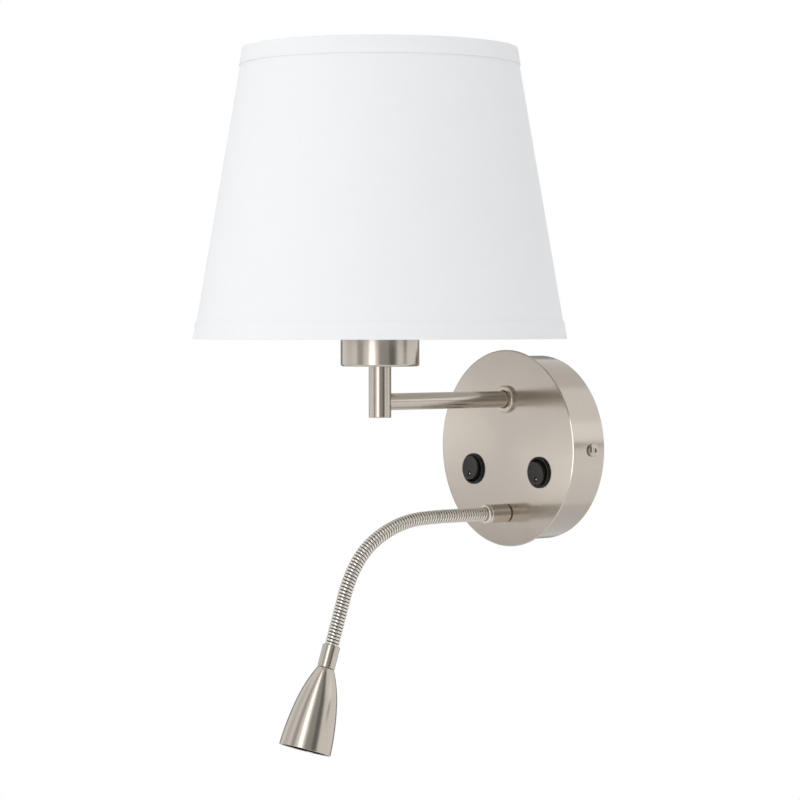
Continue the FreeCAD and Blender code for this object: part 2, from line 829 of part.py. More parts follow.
def neck_fitting():
    """Turned ferrule that holds the neck's root, its stud through the plate."""
    radius = "fitting_dia / 2"
    groove = "fitting_length - fitting_groove"
    body = turned("neck_fitting", [
        ("rod_bore / 2", "-stud_length"), ("stud_dia / 2", "-stud_length"),
        ("stud_dia / 2", "0"), (f"{radius} - fitting_bevel", "0"), (radius, "fitting_bevel"),
        (radius, f"{groove} - fitting_bevel"), (f"{radius} - groove_deep", groove),
        (radius, f"{groove} + fitting_bevel"), (radius, "fitting_length - fitting_round"),
        (f"{radius} - fitting_round", "fitting_length"), ("neck_dia / 2", "fitting_length"),
        ("neck_dia / 2", "fitting_floor"), ("rod_bore / 2", "fitting_floor"),
    ])
    body.Placement = off_wall(z=-size("neck_drop"), out=size("base_depth"))


def bar(name, place, length, bend, dia):
    """A round bar along a place's +Z that turns towards its -Y by bend degrees."""
    if bend == 0:
        thing = primitive("Cylinder", name, place, Radius=f"({dia}) / 2")
        thing.Height = length
        return thing
    radius = length / math.radians(bend)
    middle = shifted(place, y=-radius)
    # the ring's own start (+X) faces the bar's root and it turns about -X
    turn = Rotation(Vector(0, 1, 0), Vector(0, 0, 1), Vector(1, 0, 0), "ZXY")
    ring = primitive("Torus", name, middle.multiply(Placement(Vector(), turn)),
                     Radius2=f"({dia}) / 2")
    ring.Radius1 = radius
    ring.Angle3 = bend
    return ring


def along(place, length, bend):
    """The place at the far end of a bar."""
    if bend == 0:
        return shifted(place, z=length)
    angle = math.radians(bend)
    radius = length / angle
    drop = radius * (1 - math.cos(angle))
    moved = Vector(0, -drop, radius * math.sin(angle))
    return place.multiply(Placement(moved, Rotation(Vector(1, 0, 0), bend)))


def neck_link(name, place, length, bend, cupped):
    """One link: a round nose at its root and, if cupped, a hollow at its far end."""
    nose_place = place.multiply(Placement(Vector(), Rotation(Vector(1, 0, 0), 180)))
    nose = primitive("Sphere", f"{name}_nose", nose_place, Radius="neck_dia / 2")
    nose.Angle1 = 0
    nose.Angle2 = 90
    blank = joined(f"{name}_blank", [nose, bar(f"{name}_bar", place, length, bend, "neck_dia")])
    bore_start = shifted(place, z=-size("neck_dia"))
    bore = joined(f"{name}_bore", [
        cylinder(f"{name}_bore_nose", bore_start, "neck_bore", "neck_dia"),
        bar(f"{name}_bore_bar", place, length, bend, "neck_bore"),
    ])
    if not cupped:
        return less(name, blank, bore)
    hollow = primitive("Sphere", f"{name}_hollow", along(place, length, bend),
                       Radius="neck_dia / 2 + pivot_gap")
    return less(name, less(f"{name}_drilled", blank, bore), hollow)


def neck():
    """The root piece, seven links and the end that carries the spotlight."""
    front = size("base_depth + fitting_length")
    start = off_wall(z=-size("neck_drop"), out=front)
    lead = size("neck_lead")
    tucked = shifted(start, z=-size("neck_tuck"))
    root = cylinder("neck_root_bar", tucked, "neck_dia - fit_gap", "neck_tuck + neck_lead")
    bore = cylinder("neck_root_bore", tucked, "neck_bore", "neck_tuck + neck_lead")
    hollow = primitive("Sphere", "neck_root_hollow", shifted(start, z=lead),
                       Radius="neck_dia / 2 + pivot_gap")
    tube = less("neck_root_tube", root, bore)
    keep(less("neck_root", tube, hollow), "neck_root")
    place = shifted(start, z=lead)
    length = size("link_length")
    for number, bend in enumerate(LINK_TURNS, 1):
        report_pivot(number, place)
        name = f"neck_link_{number}"
        keep(neck_link(name, place, length, bend, True), name)
        place = along(place, length, bend)
    report_pivot(len(LINK_TURNS) + 1, place)
    keep(neck_link("neck_end", place, size("neck_tail"), 0, False), "neck_end")
    return shifted(place, z=size("neck_tail"))


def report_pivot(number, place):
    """Print a pivot's centre and the neck's direction there, in millimetres."""
    at = place.Base
    way = place.Rotation.multVec(Vector(0, 0, 1))
    print(f"pivot {number}: ({at.x:.3f}, {at.y:.3f}, {at.z:.3f}) way ({way.y:.5f}, {way.z:.5f})")


# ---- spotlight ----------------------------------------------------------------

def spotlight(place):
    """Collar, bell-shaped shell and the lamp parts inside it, along the neck's end."""
    bore = "neck_bore / 2"
    outer = "collar_dia / 2"
    collar = turned("head_collar", [
        (bore, "0"), (f"{outer} - edge_break", "0"), (outer, "edge_break"),
        (outer, "collar_length - edge_break"), (f"{outer} - edge_break", "collar_length"),
        (bore, "collar_length"),
    ])
    collar.Placement = place
    head = shifted(place, z=size("collar_length"))
    root = "head_root_dia / 2"
    waist = "head_waist_dia / 2"
    mouth = "head_mouth_dia / 2"
    shell = turned("head_shell", [
        (bore, "0"), (f"{root} - edge_break", "0"), (root, "edge_break", "head_root_arc", 1),
        (waist, "head_waist", "head_mouth_arc", 1), (mouth, "head_length"),
        (f"{mouth} - head_wall", "head_length", "head_mouth_arc", -1),
        (f"{waist} - head_wall", "head_waist", "head_root_arc", -1),
        ("head_floor_dia / 2", "head_floor"), (bore, "head_floor"),
    ])
    shell.Placement = head
    for thing in light_engine():
        thing.Placement = head


def light_engine():
    """Heat sink, light board and chip, reflector, lens and its ring, along the head."""
    edge = "sink_dia / 2"
    sink = turned("heat_sink", [
        ("sink_bore / 2", "sink_start"), (edge, "sink_start"), (edge, "board_start"),
        ("sink_bore / 2", "board_start"),
    ])
    face = "board_start + board_thick"
    board = turned("led_board", [
        ("0", "board_start"), (edge, "board_start"), (edge, face), ("0", face),
    ])
    chip = turned("led_chip", [
        ("0", face), ("chip_dia / 2", face), ("chip_tip_dia / 2", f"{face} + chip_thick"),
        ("0", f"{face} + chip_thick"),
    ])
    near = "reflector_root_dia / 2"
    far = "reflector_mouth_dia / 2"
    reflector = turned("reflector", [
        (near, face), (f"{near} + reflector_wall", face),
        (far, "lens_start - reflector_wall"), (far, "lens_start"),
        (f"{far} - reflector_wall", "lens_start"),
    ])
    rim = "lens_start + lens_thick"
    lens = turned("lens", [
        ("0", "lens_start"), ("lens_dia / 2", "lens_start"), ("lens_dia / 2", rim),
        ("0", f"{rim} + lens_crown"),
    ])
    top = "lens_ring_start + lens_ring_high"
    ring = turned("lens_ring", [
        ("lens_ring_bore / 2", "lens_ring_start"), ("lens_ring_dia / 2", "lens_ring_start"),
        ("lens_ring_dia / 2", top), ("lens_ring_mouth / 2", top),
    ])
    return sink, board, chip, reflector, lens, ring


# ---- electrical pieces in the canopy -------------------------------------------

def driver_and_terminals():
    """The spotlight's driver, the terminal block and the earth screw."""
    back = size("base_depth - plate_thick")
    corner = (-size("driver_width / 2"), -size("driver_drop"), back - size("driver_deep"))
    case = primitive("Box", "led_driver_box", off_wall(*corner), Length="driver_width",
                     Width="driver_high", Height="driver_deep")
    rounded = doc.addObject("Part::Fillet", "led_driver")
    rounded.Base = case
    doc.recompute()
    upright_edges = [
        i + 1 for i, e in enumerate(case.Shape.Edges)
        if abs(e.tangentAt(e.FirstParameter).y) > 0.99
    ]
    bend = size("driver_round")
    rounded.Edges = [(i, bend, bend) for i in upright_edges]
    keep(rounded, "led_driver")
    face = back - size("block_deep")
    block = primitive("Box", "terminal_box",
                      off_wall(-size("block_width / 2"), size("block_low"), face),
                      Length="block_width", Width="block_high", Height="block_deep")
    middle = size("block_low + block_high / 2")
    holes = [
        cylinder(f"terminal_hole_{n + 2}", off_wall(n * size("terminal_gap"), middle, face),
                 "terminal_bore", "terminal_deep")
        for n in (-1, 0, 1)
    ]
    keep(less("terminal_block", block, joined("terminal_holes", holes)), "terminal_block")
    top = "strap_thick + earth_head_high"
    earth = turned("earth_screw", [
        ("0", "fit_gap"), ("earth_stem_dia / 2", "fit_gap"),
        ("earth_stem_dia / 2", "strap_thick"), ("earth_head_dia / 2", "strap_thick"),
        ("earth_head_dia / 2", top), ("0", f"{top} + earth_crown"),
    ])
    earth.Placement = off_wall(size("earth_side"))


def routed(name, points, widest):
    """An insulated wire: straight runs joined by tangent arcs, swept as one tube."""
    edges = []
    last = points[0]
    for before, corner, after in zip(points, points[1:], points[2:]):
        into = (corner - before).normalize()
        out = (after - corner).normalize()
        half_turn = into.getAngle(out) / 2
        run = 0.45 * min((corner - before).Length, (after - corner).Length)
        radius = min(run / math.tan(half_turn), widest)
        run = radius * math.tan(half_turn)
        start = corner - into * run
        finish = corner + out * run
        inward = (out - into).normalize()
        centre = corner + inward * (radius / math.cos(half_turn))
        middle = centre - inward * radius
        edges.append(Part.LineSegment(last, start).toShape())
        edges.append(Part.Arc(start, middle, finish).toShape())
        last = finish
    edges.append(Part.LineSegment(last, points[-1]).toShape())
    path = Part.Wire(edges)
    way = (points[1] - points[0]).normalize()
    ring = Part.Wire(Part.Circle(points[0], way, size("wire_dia / 2")).toShape())
    wire = doc.addObject("Part::Feature", name)
    wire.Shape = path.makePipeShell([ring], True, False)
    wire.Placement = Placement()
    whole = path.Length * math.pi * size("wire_dia / 2") ** 2
    if abs(wire.Shape.Volume / whole - 1) > 0.02:
        raise RuntimeError(f"{name} was not swept whole")
    keep(wire, name)


def wires():
    """The lampholder's pair up the arm and post, and the leads inside the canopy."""
    post_y = -size("base_depth + arm_reach")
    arm_z = size("arm_height")
    block_y = -size("base_depth - plate_thick - block_deep + terminal_deep")
    block_z = size("block_low + block_high / 2")
    for name, side in (("lamp_wire_live", -1), ("lamp_wire_neutral", 1)):
        block_x = side * size("terminal_gap")
        x = side * size("pair_gap / 2")
        routed(name, [
            Vector(block_x, block_y, block_z), Vector(block_x, -12, block_z),
            Vector(x, -9, arm_z), Vector(x, post_y, arm_z),
            Vector(x, post_y, size("nipple_high")),
        ], TIGHT_BEND)
    drop = -size("neck_drop")
    driver_y = -size("base_depth - plate_thick - driver_deep")
    neck_y = -size("base_depth + fitting_length")
    routed("spotlight_lead", [
        Vector(12, driver_y, -30), Vector(12, -9, -30), Vector(0, -9, drop),
        Vector(0, neck_y, drop),
    ], TIGHT_BEND)
    blade_y = -size("base_depth - switch_depth - blade_length")
    blade_z = size("blade_gap / 2 - switch_drop")
    for name, side in (("switch_lead_left", -1), ("switch_lead_right", 1)):
        blade_x = side * size("switch_side")
        routed(name, [
            Vector(blade_x, blade_y, blade_z), Vector(blade_x, -6, blade_z),
            Vector(15 * side, -6, -22), Vector(15 * side, driver_y, -22),
        ], LOOSE_BEND)


def check_document():
    """Stop if any object failed or any sub-part's shape is missing or broken."""
    for thing in doc.Objects:
        if "Invalid" in thing.State or "Error" in thing.State:
            raise RuntimeError(f"{thing.Label} did not build: {thing.State}")
    for piece in pieces:
        shape = piece.Shape
        if shape.isNull() or not shape.isValid() or shape.Volume <= 0:
            raise RuntimeError(f"{piece.Label} has a broken shape")


def write_parts():
    """Write one STEP file for each sub-part."""
    os.makedirs("parts", exist_ok=True)
    for old in os.listdir("parts"):
        os.remove(os.path.join("parts", old))
    for piece in pieces:
        piece.Shape.exportStep(f"parts/{piece.Label}.step")
        print(f"{piece.Label}: {len(piece.Shape.Solids)} solid, {piece.Shape.Volume:.0f} mm3")


wall_bracket()
canopy_drum()
front_plate()
side_screws()
round_hardware()
arm()
post()
cup_and_nipple()
lampholder()
bulb()
shade()
shade_spider()
switch("left", -1)
switch("right", 1)
neck_fitting()
spotlight(neck())
driver_and_terminals()
wires()
doc.recompute()
check_document()
write_parts()
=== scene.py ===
"""Wall reading lamp: the looks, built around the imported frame.

Metres, +Z up. The wall is the plane y = 0 and the lamp stands out towards -Y.
A class builds each sub-assembly, and each finish is a small frozen dataclass.
"""

import json
import logging
import math
from dataclasses import dataclass
from enum import Enum
from typing import Callable, Sequence

import bmesh
import bpy
from mathutils import Matrix, Vector


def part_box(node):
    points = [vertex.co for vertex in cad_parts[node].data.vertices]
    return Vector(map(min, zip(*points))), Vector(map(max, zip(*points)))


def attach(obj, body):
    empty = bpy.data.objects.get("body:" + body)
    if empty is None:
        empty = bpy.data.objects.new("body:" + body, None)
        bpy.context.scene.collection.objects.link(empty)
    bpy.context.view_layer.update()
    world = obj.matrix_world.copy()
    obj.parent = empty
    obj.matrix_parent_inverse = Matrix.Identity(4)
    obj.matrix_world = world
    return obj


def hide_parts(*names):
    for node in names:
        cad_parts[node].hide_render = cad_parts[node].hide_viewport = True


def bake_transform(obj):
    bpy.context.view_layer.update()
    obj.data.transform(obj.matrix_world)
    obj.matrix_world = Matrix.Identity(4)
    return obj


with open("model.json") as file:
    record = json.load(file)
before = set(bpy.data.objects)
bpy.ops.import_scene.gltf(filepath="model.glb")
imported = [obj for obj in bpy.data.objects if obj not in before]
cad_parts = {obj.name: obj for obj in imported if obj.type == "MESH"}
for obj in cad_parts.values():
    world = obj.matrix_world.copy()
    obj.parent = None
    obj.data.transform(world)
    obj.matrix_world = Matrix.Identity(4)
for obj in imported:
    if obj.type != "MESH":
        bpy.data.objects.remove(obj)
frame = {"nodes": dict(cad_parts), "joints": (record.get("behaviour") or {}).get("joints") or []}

LOG = logging.getLogger("wall_lamp")
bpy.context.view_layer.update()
BASE = "base"
FULL_TURN = 2 * math.pi
SHARP = math.radians(25)
GROOVE = "groove"

Outline = list[tuple[float, float]]


# ---- places taken from the frame ---------------------------------------------

def middle(node: str) -> Vector:
    """The centre of a CAD node's box at rest."""
    low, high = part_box(node)
    return (low + high) / 2


def extent(node: str) -> Vector:
    """The size of a CAD node's box at rest."""
    low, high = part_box(node)
    return high - low


def off_wall(x: float = 0.0, z: float = 0.0, out: float = 0.0) -> Matrix:
    """A place whose own +Z points out of the wall and whose own +Y points up.

    Args:
        x: Distance to the right of the canopy's centre.
        z: Height above the canopy's centre.
        out: Distance of the place's origin from the wall.

    Returns:
        The matrix from the place to the lamp's frame.
    """
    return Matrix.Translation((x, -out, z)) @ Matrix.Rotation(math.pi / 2, 4, "X")


def on_post(height: float = 0.0) -> Matrix:
    """A place on the post's axis at a height, its own +Z up."""
    return Matrix.Translation((0.0, middle("post_tube").y, height))


def along_way(origin: Vector, way: Vector) -> Matrix:
    """A place at origin whose own +Z points along way and whose +X is the lamp's +X."""
    up = way.cross(Vector((1, 0, 0)))
    turn = Matrix((Vector((1, 0, 0)), up * -1, way)).transposed()
    return Matrix.Translation(origin) @ turn.to_4x4()


# ---- outlines ------------------------------------------------------------------

def bow(start: Sequence[float], finish: Sequence[float], radius: float, side: int,
        count: int = 12) -> Outline:
    """Points on an arc that leaves start and stops short of finish.

    Args:
        start: First point, (radius, height).
        finish: The point that the arc reaches.
        radius: The arc's own radius.
        side: 1 if its centre is to the left of the way from start to finish, else -1.
        count: How many spans divide it.

    Returns:
        The points from start up to the one before finish.
    """
    first, last = Vector(start), Vector(finish)
    chord = last - first
    reach = math.sqrt(max(radius**2 - (chord.length / 2) ** 2, 0.0))
    left = Vector((-chord.y, chord.x)).normalized()
    centre = (first + last) / 2 + left * reach * side
    begin = math.atan2(first.y - centre.y, first.x - centre.x)
    sweep = 2 * math.asin(min(chord.length / 2 / radius, 1.0)) * side
    return [
        (centre.x + radius * math.cos(begin + sweep * n / count),
         centre.y + radius * math.sin(begin + sweep * n / count))
        for n in range(count)
    ]


def ridges(radius: float, depth: float, low: float, high: float, pitch: float,
           per_ridge: int = 8) -> Outline:
    """A wavy stretch of outline, such as a rolled thread, from low to high."""
    count = max(2, round((high - low) / pitch * per_ridge))
    step = (high - low) / count
    return [
        (radius - depth / 2 * (1 - math.cos(FULL_TURN * n * step / pitch)), low + n * step)
        for n in range(count + 1)
    ]


# ---- mesh work -----------------------------------------------------------------

def soften(work: bmesh.types.BMesh, width: float, segments: int = 3,
           pick: Callable[[bmesh.types.BMEdge], bool] | None = None) -> None:
    """Round the sharp edges of a closed shape.

    Args:
        work: The mesh that is shaped.
        width: Width of the rounding.
        segments: Faces across it.
        pick: A test for the edges, every sharp one if it is left out.
    """
    edges = [
        e for e in work.edges
        if len(e.link_faces) == 2 and e.calc_face_angle(0.0) > SHARP and (not pick or pick(e))
    ]
    if edges and width > 0:
        bmesh.ops.bevel(work, geom=edges, offset=width, offset_type="OFFSET", segments=segments,
                        profile=0.5, affect="EDGES", clamp_overlap=False, material=-1)


def tidy_faces(work: bmesh.types.BMesh) -> None:
    """Merge doubled points and turn every face outwards."""
    bmesh.ops.remove_doubles(work, verts=work.verts, dist=1e-7)
    bmesh.ops.recalc_face_normals(work, faces=work.faces)


def turned(outline: Outline, steps: int = 128, edge: float = 0.0002, closed: bool = True,
           segments: int = 3) -> bmesh.types.BMesh:
    """A shape turned about its own Z from an outline of (radius, height) points.

    Args:
        outline: The section's points in order.
        steps: Faces around the turn.
        edge: Width of the rounding on its sharp edges.
        closed: Whether the last point joins the first.
        segments: Faces across each rounding.

    Returns:
        The mesh, its faces pointing outwards.
    """
    work = bmesh.new()
    points = [work.verts.new((r, 0.0, h)) for r, h in outline]
    pairs = list(zip(points, points[1:]))
    if closed:
        pairs.append((points[-1], points[0]))
    lines = [work.edges.new(p) for p in pairs if max(p[0].co.x, p[1].co.x) > 1e-7]
    bmesh.ops.spin(work, geom=points + lines, cent=(0, 0, 0), axis=(0, 0, 1), dvec=(0, 0, 0),
                   angle=FULL_TURN, steps=steps, use_merge=True, use_duplicate=False)
    tidy_faces(work)
    soften(work, edge, segments)
    return work


def block(size: Sequence[float], centre: Sequence[float] = (0, 0, 0),
          edge: float = 0.0002) -> bmesh.types.BMesh:
    """A rectangular block with rounded edges."""
    work = bmesh.new()
    bmesh.ops.create_cube(work, size=1.0)
    bmesh.ops.scale(work, vec=size, verts=work.verts)
    bmesh.ops.translate(work, vec=centre, verts=work.verts)
    soften(work, edge)
    return work


def gathered(parts: Sequence[bmesh.types.BMesh]) -> bmesh.types.BMesh:
    """Several closed shapes as one mesh; the separate ones are freed."""
    whole = bmesh.new()
    for part in parts:
        mesh = bpy.data.meshes.new("part")
        part.to_mesh(mesh)
        part.free()
        whole.from_mesh(mesh)
        bpy.data.meshes.remove(mesh)
    return whole


def polar_scale(work: bmesh.types.BMesh, factor: Callable[[float], float],
                pick: Callable[[bmesh.types.BMVert], bool]) -> None:
    """Move picked points in or out from Z by a factor that depends on their bearing."""
    for vert in work.verts:
        if pick(vert):
            scale = factor(math.atan2(vert.co.y, vert.co.x))
            vert.co.x *= scale
            vert.co.y *= scale


# ---- materials -------------------------------------------------------------------

class Term:
    """A number in a material's tree; working with it adds Math nodes."""

    def __init__(self, desk: "Desk", socket: bpy.types.NodeSocket) -> None:
        """Wrap an output socket of a desk's tree."""
        self.desk = desk
        self.socket = socket

    def maths(self, operation: str, *values: "Term | float") -> "Term":
        """Add one Math node on this and other values."""
        node = self.desk.add("ShaderNodeMath", {"operation": operation}, dict(enumerate(values)))
        return Term(self.desk, node.outputs[0])

    def __add__(self, other: "Term | float") -> "Term":
        """Sum."""
        return self.maths("ADD", self, other)

    __radd__ = __add__

    def __sub__(self, other: "Term | float") -> "Term":
        """Difference."""
        return self.maths("SUBTRACT", self, other)

    def __rsub__(self, other: float) -> "Term":
        """Difference from a number."""
        return self.maths("SUBTRACT", other, self)

    def __mul__(self, other: "Term | float") -> "Term":
        """Product."""
        return self.maths("MULTIPLY", self, other)

    __rmul__ = __mul__

    def __truediv__(self, other: "Term | float") -> "Term":
        """Quotient."""
        return self.maths("DIVIDE", self, other)

    def __pow__(self, other: float) -> "Term":
        """Power."""
        return self.maths("POWER", self, other)

    def sine(self) -> "Term":
        """Sine of radians."""
        return self.maths("SINE", self)

    def size(self) -> "Term":
        """Value without its sign."""
        return self.maths("ABSOLUTE", self)

    def root(self) -> "Term":
        """Square root."""
        return self.maths("SQRT", self)

    def bearing(self, across: "Term") -> "Term":
        """Angle whose tangent is this over across."""
        return self.maths("ARCTAN2", self, across)

    def above(self, limit: float) -> "Term":
        """One where the value is over a limit, else zero."""
        return self.maths("GREATER_THAN", self, limit)


class Desk:
    """Adds nodes to one new material and keeps its shader."""

    def __init__(self, name: str) -> None:
        """Start a material that has one Principled shader."""
        self.material = bpy.data.materials.new(name)
        self.material.use_nodes = True
        self.tree = self.material.node_tree
        self.tree.nodes.clear()
        self.shader = self.add("ShaderNodeBsdfPrincipled")
        self.add("ShaderNodeOutputMaterial", values={"Surface": self.shader.outputs[0]})

    def add(self, kind: str, settings: dict | None = None,
            values: dict | None = None) -> bpy.types.Node:
        """Add a node.

        Args:
            kind: The node's type.
            settings: Its own settings, by name.
            values: What its inputs hold, by name or number: numbers, Terms or sockets.

        Returns:
            The node.
        """
        node = self.tree.nodes.new(kind)
        for name, value in (settings or {}).items():
            setattr(node, name, value)
        for key, value in (values or {}).items():
            self.feed(node.inputs[key], value)
        return node

    def feed(self, socket: bpy.types.NodeSocket, value: object) -> None:
        """Link a Term or socket to an input, or set the input's own value."""
        if isinstance(value, Term):
            value = value.socket
        if isinstance(value, bpy.types.NodeSocket):
            self.tree.links.new(value, socket)
        else:
            socket.default_value = value

    def shade(self, **values: object) -> None:
        """Feed the shader's inputs; an underscore in a name stands for a space."""
        for name, value in values.items():
            self.feed(self.shader.inputs[name.replace("_", " ")], value)

    def position(self, place: Matrix | None = None) -> bpy.types.NodeSocket:
        """Object coordinates, turned into a piece's own place if one is given."""
        spot = self.add("ShaderNodeTexCoord").outputs["Object"]
        if place is None:
            return spot
        back = place.inverted()
        node = self.add("ShaderNodeMapping", {"vector_type": "POINT"}, {
            "Vector": spot, "Location": back.to_translation(), "Rotation": back.to_euler("XYZ"),
        })
        return node.outputs[0]

    def parts(self, vector: bpy.types.NodeSocket) -> tuple[Term, Term, Term]:
        """The three numbers of a vector."""
        node = self.add("ShaderNodeSeparateXYZ", values={0: vector})
        return tuple(Term(self, output) for output in node.outputs)

    def vector(self, x: Term | float, y: Term | float, z: Term | float) -> bpy.types.NodeSocket:
        """A vector from three numbers."""
        return self.add("ShaderNodeCombineXYZ", values={0: x, 1: y, 2: z}).outputs[0]

    def noise(self, vector: bpy.types.NodeSocket, scale: float, detail: float = 2.0,
              rough: float = 0.5) -> Term:
        """Smooth noise from 0 to 1 over a vector."""
        node = self.add("ShaderNodeTexNoise", values={
            "Vector": vector, "Scale": scale, "Detail": detail, "Roughness": rough})
        return Term(self, node.outputs[0])

    def cells(self, vector: bpy.types.NodeSocket, scale: float) -> Term:
        """Distance to the nearest of scattered points."""
        node = self.add("ShaderNodeTexVoronoi", values={"Vector": vector, "Scale": scale})
        return Term(self, node.outputs["Distance"])

    def blend(self, mask: Term, one: Sequence[float], two: Sequence[float]) -> bpy.types.NodeSocket:
        """A colour that goes from one to two as the mask goes from 0 to 1."""
        node = self.add("ShaderNodeMix", {"data_type": "RGBA", "clamp_factor": True},
                        {0: mask, 6: (*one, 1.0), 7: (*two, 1.0)})
        return node.outputs[2]

    def bump(self, height: Term, distance: float) -> bpy.types.NodeSocket:
        """A surface normal tilted by a height of 0 to 1 that spans a real distance."""
        values = {"Height": height, "Distance": distance, "Strength": 1.0}
        return self.add("ShaderNodeBump", values=values).outputs[0]


class Grain(Enum):
    """Which way a metal's fine scratches run."""

    AROUND = "around the piece's own axis"
    FACED = "in circles on a flat face"


@dataclass(frozen=True)
class Finish:
    """What every finish has: its name, and the record's slot that it belongs to."""

    name: str
    slot: str

    def dress(self, desk: Desk) -> None:
        """Add the finish's nodes; each kind of finish has its own."""
        raise NotImplementedError

    def material(self) -> bpy.types.Material:
        """The finish's material, made once."""
        found = bpy.data.materials.get(self.name)
        if found:
            return found
        desk = Desk(self.name)
        self.dress(desk)
        return desk.material


@dataclass(frozen=True)
class SatinNickel(Finish):
    """Satin nickel plate with fine scratches left by the brush."""

    place: Matrix
    grain: Grain = Grain.AROUND
    light: tuple = (0.565, 0.517, 0.456)
    dark: tuple = (0.505, 0.459, 0.401)
    roughness: float = 0.145
    fine: float = 3400.0
    coarse: float = 30.0
    depth: float = 0.000003

    def dress(self, desk: Desk) -> None:
        """Scratches as stretched noise, with a slow drift of tone and gloss."""
        spot = desk.position(self.place)
        x, y, z = desk.parts(spot)
        if self.grain is Grain.AROUND:
            lines = desk.vector(x * self.coarse, y * self.coarse, z * self.fine)
        else:
            radius = (x * x + y * y).root()
            lines = desk.vector(radius * self.fine, x * self.coarse, y * self.coarse)
        scratch = desk.noise(lines, 1.0, 3.0, 0.6)
        drift = desk.noise(spot, 38.0, 3.0, 0.55)
        desk.shade(
            Base_Color=desk.blend(scratch * 0.35 + drift * 0.65, self.dark, self.light),
            Roughness=self.roughness + 0.05 * drift + 0.04 * scratch,
            Metallic=1.0,
            Normal=desk.bump(scratch, self.depth),
        )


@dataclass(frozen=True)
class SpunNickel(SatinNickel):
    """Satin nickel spun on a lathe, with a painted highlight: two opposite sectors painted lighter.
    """

    painted_sheen_bearing: float = math.radians(-18.5)

    def dress(self, desk: Desk) -> None:
        """Fine rings, and a painted highlight: lighter sectors that fan out from the centre."""
        spot = desk.position(self.place)
        x, y, _ = desk.parts(spot)
        radius = (x * x + y * y).root()
        scratch = desk.noise(desk.vector(radius * self.fine, x * self.coarse, y * self.coarse),
                             1.0, 3.0, 0.6)
        drift = desk.noise(spot, 38.0, 3.0, 0.55)
        # Painted highlight: the base colour is lighter in two opposite sectors along one bearing,
        # standing in for the spun metal's fanned reflection.
        along = (x * math.cos(self.painted_sheen_bearing) + y * math.sin(self.painted_sheen_bearing)) / (radius + 0.004)
        painted_highlight = (along * along) ** 3.0
        desk.shade(
            Base_Color=desk.blend(scratch * 0.3 + drift * 0.3 + painted_highlight * 0.55, self.dark, self.light),
            Roughness=self.roughness + 0.05 * drift + 0.04 * scratch,
            Metallic=1.0,
            Normal=desk.bump(scratch, self.depth),
        )


@dataclass(frozen=True)
class WoundNickel(SatinNickel):
    """Satin nickel on a wound tube, with painted shade that darkens it deep between its turns."""

    painted_groove_shade: tuple = (0.055, 0.047, 0.038)

    def dress(self, desk: Desk) -> None:
        """The depth between turns comes with the tube's own mesh."""
        spot = desk.position()
        node = desk.add("ShaderNodeAttribute", {"attribute_name": GROOVE})
        depth = Term(desk, node.outputs["Fac"])
        # Painted shade: the base colour darkens to near black deep in the grooves between the
        # turns.
        groove = (depth - 0.08) * 1.5
        scratch = desk.noise(spot, 900.0, 3.0, 0.6)
        drift = desk.noise(spot, 60.0, 3.0)
        clean = desk.blend(drift, self.dark, self.light)
        mixed = desk.add("ShaderNodeMix", {"data_type": "RGBA", "clamp_factor": True},
                         {0: groove * (0.9 + 0.2 * drift), 6: clean, 7: (*self.painted_groove_shade, 1.0)})
        desk.shade(
            Base_Color=mixed.outputs[2],
            Roughness=self.roughness + 0.05 * scratch + 0.2 * depth,
            Metallic=1.0,
            Normal=desk.bump(scratch, self.depth),
        )


@dataclass(frozen=True)
class PlatedSteel(Finish):
    """Bright zinc plate with a faint spangle and shallow dents."""

    tint: tuple = (0.60, 0.61, 0.64)
    shadow: tuple = (0.44, 0.45, 0.49)
    roughness: float = 0.34

    def dress(self, desk: Desk) -> None:
        """A spangle of small cells under cloudy stains."""
        spot = desk.position()
        spangle = desk.cells(spot, 900.0)
        cloud = desk.noise(spot, 120.0, 4.0, 0.6)
        desk.shade(
            Base_Color=desk.blend(cloud * 0.8 + spangle * 0.3, self.shadow, self.tint),
            Roughness=self.roughness + 0.14 * cloud - 0.06 * spangle,
            Metallic=1.0,
            Normal=desk.bump(cloud + spangle * 0.4, 0.00006),
        )


@dataclass(frozen=True)
class Brass(Finish):
    """Stamped brass, a little tarnished in patches."""

    def dress(self, desk: Desk) -> None:
        """Tarnish that darkens and dulls."""
        spot = desk.position()
        tarnish = desk.noise(spot, 260.0, 4.0, 0.65)
        rolled = desk.noise(desk.vector(*[p * s for p, s in zip(desk.parts(spot), (90, 90, 2600))]),
                            1.0)
        desk.shade(
            Base_Color=desk.blend(tarnish, (0.36, 0.23, 0.075), (0.80, 0.57, 0.24)),
            Roughness=0.42 - 0.2 * tarnish,
            Metallic=1.0,
            Normal=desk.bump(rolled + tarnish * 0.5, 0.00002),
        )


@dataclass(frozen=True)
class Moulded(Finish):
    """Moulded plastic: a fine spark texture, soft mottling and a thin gloss."""

    tone: tuple
    tone_two: tuple
    roughness: float = 0.4
    coat: float = 0.0
    grain: float = 3200.0
    depth: float = 0.00002
    gloss: float = 0.5

    def dress(self, desk: Desk) -> None:
        """A fine texture with a slow drift in tone and gloss."""
        spot = desk.position()
        spark = desk.noise(spot, self.grain, 3.0, 0.6)
        drift = desk.noise(spot, 70.0, 3.0)
        desk.shade(
            Base_Color=desk.blend(spark * 0.4 + drift * 0.6, self.tone, self.tone_two),
            Roughness=self.roughness + 0.1 * drift + 0.06 * spark,
            Specular_IOR_Level=self.gloss,
            Coat_Weight=self.coat,
            Coat_Roughness=0.12,
            Normal=desk.bump(spark, self.depth),
        )


